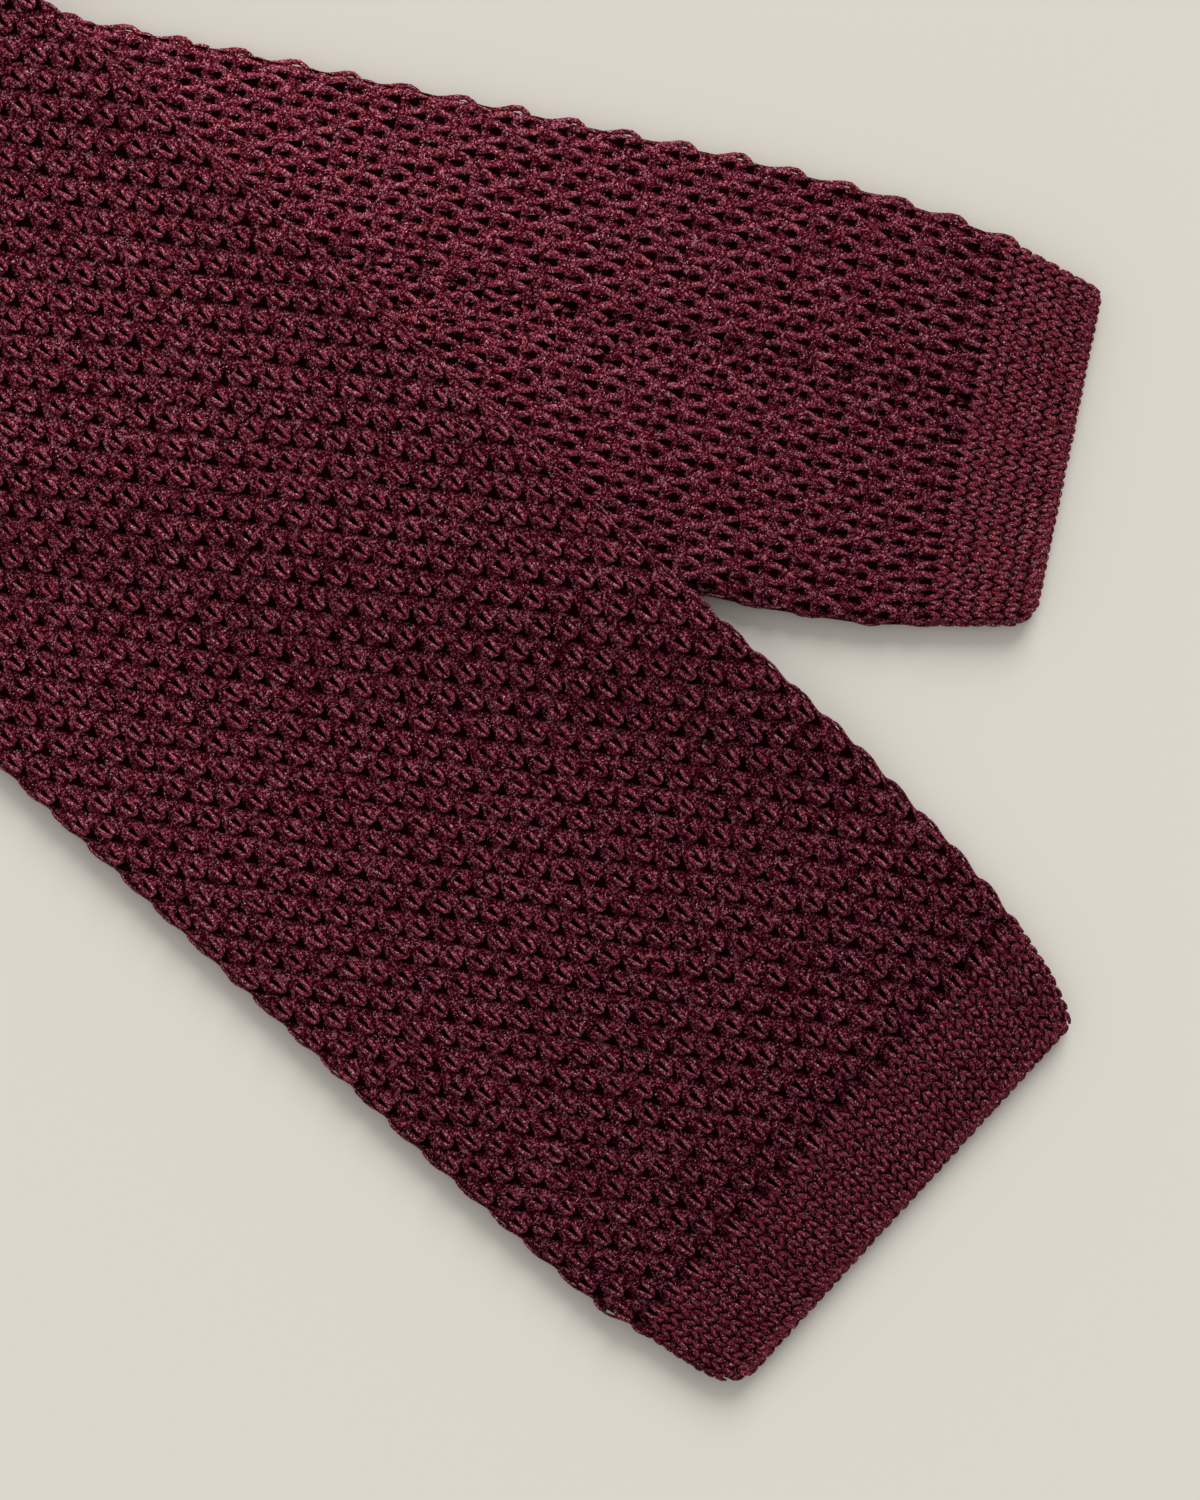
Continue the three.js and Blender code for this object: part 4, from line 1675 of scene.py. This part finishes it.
@dataclass
class BackSeam:
    """The line of sewn stitches along the centre of the back, in millimetres."""

    shop: Workshop
    depth: float = 1.12
    repeat: float = 4.4
    column: float = 1.35
    stitch_width: float = 1.45
    near: float = 176.0
    band_gap: float = 0.4
    step: float = 8.0

    def build(self) -> None:
        """Builds the strip and its stitches."""
        shop, lay = self.shop, self.shop.lay
        sizes = lay.sizes
        ends = (sizes.wall + sizes.gap, lay.length - sizes.wall - sizes.gap)
        near = lay.length - self.near
        last = lay.length - sizes.tail_band - self.band_gap
        fold = lay.fold_lengths()
        before = np.arange(ends[0], fold[0] - self.step / 2, self.step)
        after = np.arange(fold[-1] + self.step / 2, ends[1], self.step)
        lengths = np.concatenate([before, fold, after, ends[1:]])
        left = sizes.seam_offset - sizes.seam_width / 2
        right = sizes.seam_offset + sizes.seam_width / 2
        across = np.array([left, right, right, left])
        out = np.array([-self.depth, -self.depth, -sizes.slit / 2, -sizes.slit / 2])
        parts = MeshParts()
        loops = []
        for length in lengths:
            points = lay.place(np.full(4, length), across, out)
            wale = (across - sizes.seam_offset) / self.column
            spots = np.stack([wale, np.full(4, (length - last) / self.repeat * 2)], axis=1)
            start = parts.add(points, spots)
            loops.append(range(start, start + 4))
        for first, second in zip(loops, loops[1:]):
            parts.join(first, second)
        parts.faces.append(tuple(reversed(loops[0])))
        parts.faces.append(tuple(loops[-1]))
        strip = stage_piece("back_seam_cloth", parts.mesh("back_seam_cloth", smooth=False))
        strip.data.materials.append(shop.finishes["tail_ground"])
        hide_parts("back_seam")
        shop.settle(strip, SEAM_SLOT)
        for name, motif, low, high, seed, turn in (
            ("back_seam_stitches", "tail", near, last, 51, 0.25),
            ("back_seam_covered_stitches", "low", sizes.front_band + 1, near, 52, 0.07),
        ):
            places = self._places(shop.stitches.motifs[motif], low, high, seed)
            shop.field(name, motif, places, "tail_yarn", SEAM_SLOT, seed, turn)

    def _places(self, motif: Motif, low: float, high: float, seed: int) -> Places:
        """Crowded stitches in three columns, each leaning its own way."""
        knit = self.shop.knit
        sizes = self.shop.lay.sizes
        rows = np.arange(high, low, -self.repeat / 2)
        number, column = (a.ravel() for a in np.meshgrid(np.arange(len(rows)), (-1, 0, 1), indexing="ij"))
        kept = (number + column) % 2 == 0
        length = rows[number[kept]]
        across = sizes.seam_offset + column[kept] * self.column
        left, right = self.shop.lay.halves(length)
        half = sizes.thickness / 2
        girth = 2 * (right - half) + math.pi * knit.radius - across
        wale = self.stitch_width / motif.wale
        size = np.tile([wale, self.repeat / motif.repeat, 1.0], (len(length), 1))
        return knit.stand(length, girth, size, -1, seed)


@dataclass
class Studio:
    """Pale floor, soft light from the image's top, and the camera straight above."""

    centre: tuple[float, float] = (-1.62, -314.67)
    up: tuple[float, float] = (0.7373, 0.6756)
    lens: float = 100.0
    photo_height: float = 162.5
    floor_colour: Colour = (0.735, 0.705, 0.627)
    reach: float = 6.0
    sky: float = 0.56
    key: float = 2.30
    key_angle: float = 34.0
    key_height: float = 33.0
    key_turn: float = 14.0

    def build(self) -> None:
        """Sets up floor, lights and camera."""
        scene = bpy.context.scene
        scene.view_settings.view_transform = "Standard"
        mesh = bpy.data.meshes.new("floor")
        corners = [(x * self.reach, y * self.reach, 0) for x, y in ((-1, -1), (1, -1), (1, 1), (-1, 1))]
        mesh.from_pydata(corners, [], [(0, 1, 2, 3)])
        floor = stage_piece("floor", mesh)
        graph = Graph("floor_paper")
        mesh.materials.append(
            graph.finish(Base_Color=self.floor_colour, Roughness=0.95, Specular_IOR_Level=0.0)
        )
        world = bpy.data.worlds.new("studio")
        world.use_nodes = True
        scene.world = world
        background = world.node_tree.nodes["Background"]
        background.inputs["Color"].default_value = (1.0, 1.0, 1.0, 1.0)
        background.inputs["Strength"].default_value = self.sky
        sun = bpy.data.lights.new("key", "SUN")
        sun.energy = self.key
        sun.angle = math.radians(self.key_angle)
        lamp = stage_piece("key", sun)
        up = Vector((self.up[0], self.up[1], 0)).normalized()
        right = up.cross(Vector((0, 0, 1)))
        height, turn = math.radians(self.key_height), math.radians(self.key_turn)
        level = up * math.cos(turn) + right * math.sin(turn)
        towards = level * math.cos(height) + Vector((0, 0, math.sin(height)))
        lamp.rotation_euler = towards.to_track_quat("Z", "Y").to_euler()
        camera = bpy.data.cameras.new("camera")
        camera.lens = self.lens
        camera.clip_start = 0.02
        eye = stage_piece("camera", camera)
        distance = self.photo_height * self.lens / 36 * MM
        facing = Matrix((right, up, Vector((0, 0, 1)))).transposed().to_4x4()
        spot = Vector((self.centre[0] * MM, self.centre[1] * MM, distance + 0.003))
        eye.matrix_world = Matrix.Translation(spot) @ facing
        scene.camera = eye


def finishes() -> dict[str, bpy.types.Material]:
    """The materials of the tie by their short names."""
    return {
        # Pits of painted shade: the larger is a painted shadow beyond each V's tip, the smaller the shade
        # inside the V.
        "front_ground": GroundFinish(
            "front_ground_knit",
            1.73,
            2.47,
            (Pit(1.55, 3.0, 0.74), Pit(-0.1, 1.3, 0.38)),
            brightness=0.94,
            painted_falloff=FRONT_PAINTED_FALLOFF,
        ).material(),
        # Pits of painted shade in the holes of the tail's open knit.
        "tail_ground": GroundFinish(
            "tail_ground_knit",
            1.4,
            3.07,
            (Pit(-0.5, 1.3, 0.50), Pit(-2.6, -0.9, 0.48)),
            brightness=1.48,
            painted_falloff=TAIL_PAINTED_FALLOFF,
        ).material(),
        # Far darker than its yarn: painted shade in the gaps between the band's stitches.
        "band_ground": GroundFinish(
            "band_ground_knit", 1.6, 1.4, mid=(0.022, 0.0022, 0.0045), light=(0.07, 0.009, 0.017)
        ).material(),
        "front_yarn": YarnFinish("front_blade_yarn", brightness=1.06, painted_falloff=FRONT_PAINTED_FALLOFF).material(),
        "tail_yarn": YarnFinish("tail_blade_yarn", brightness=1.32, painted_falloff=TAIL_PAINTED_FALLOFF).material(),
        "front_band_yarn": YarnFinish("front_band_yarn", brightness=0.92, speckle=2.4).material(),
        "tail_band_yarn": YarnFinish("tail_band_yarn", brightness=1.10, speckle=2.7).material(),
    }


def main() -> None:
    """Builds the tie's looks around its solid model."""
    logging.basicConfig(level=logging.INFO, format="%(name)s: %(message)s")
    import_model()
    sizes = TieSizes()
    lay = Lay(sizes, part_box("front_end_band")[0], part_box("front_blade")[1].x)
    LOG.info("tie %.0f mm long, front end at %.2f, %.2f mm", lay.length, lay.origin[0], lay.origin[1])
    shop = Workshop(lay, Knit(lay), StitchTree(), Stitches(), finishes())
    FrontBlade(shop).build()
    EndBand(shop, End.FRONT).build()
    NeckBand(shop).build()
    TailBlade(shop).build()
    EndBand(shop, End.TAIL).build()
    BackSeam(shop).build()
    Studio().build()
    LOG.info("%d triangles in all", shop.triangles)


if __name__ == "__main__":
    main()
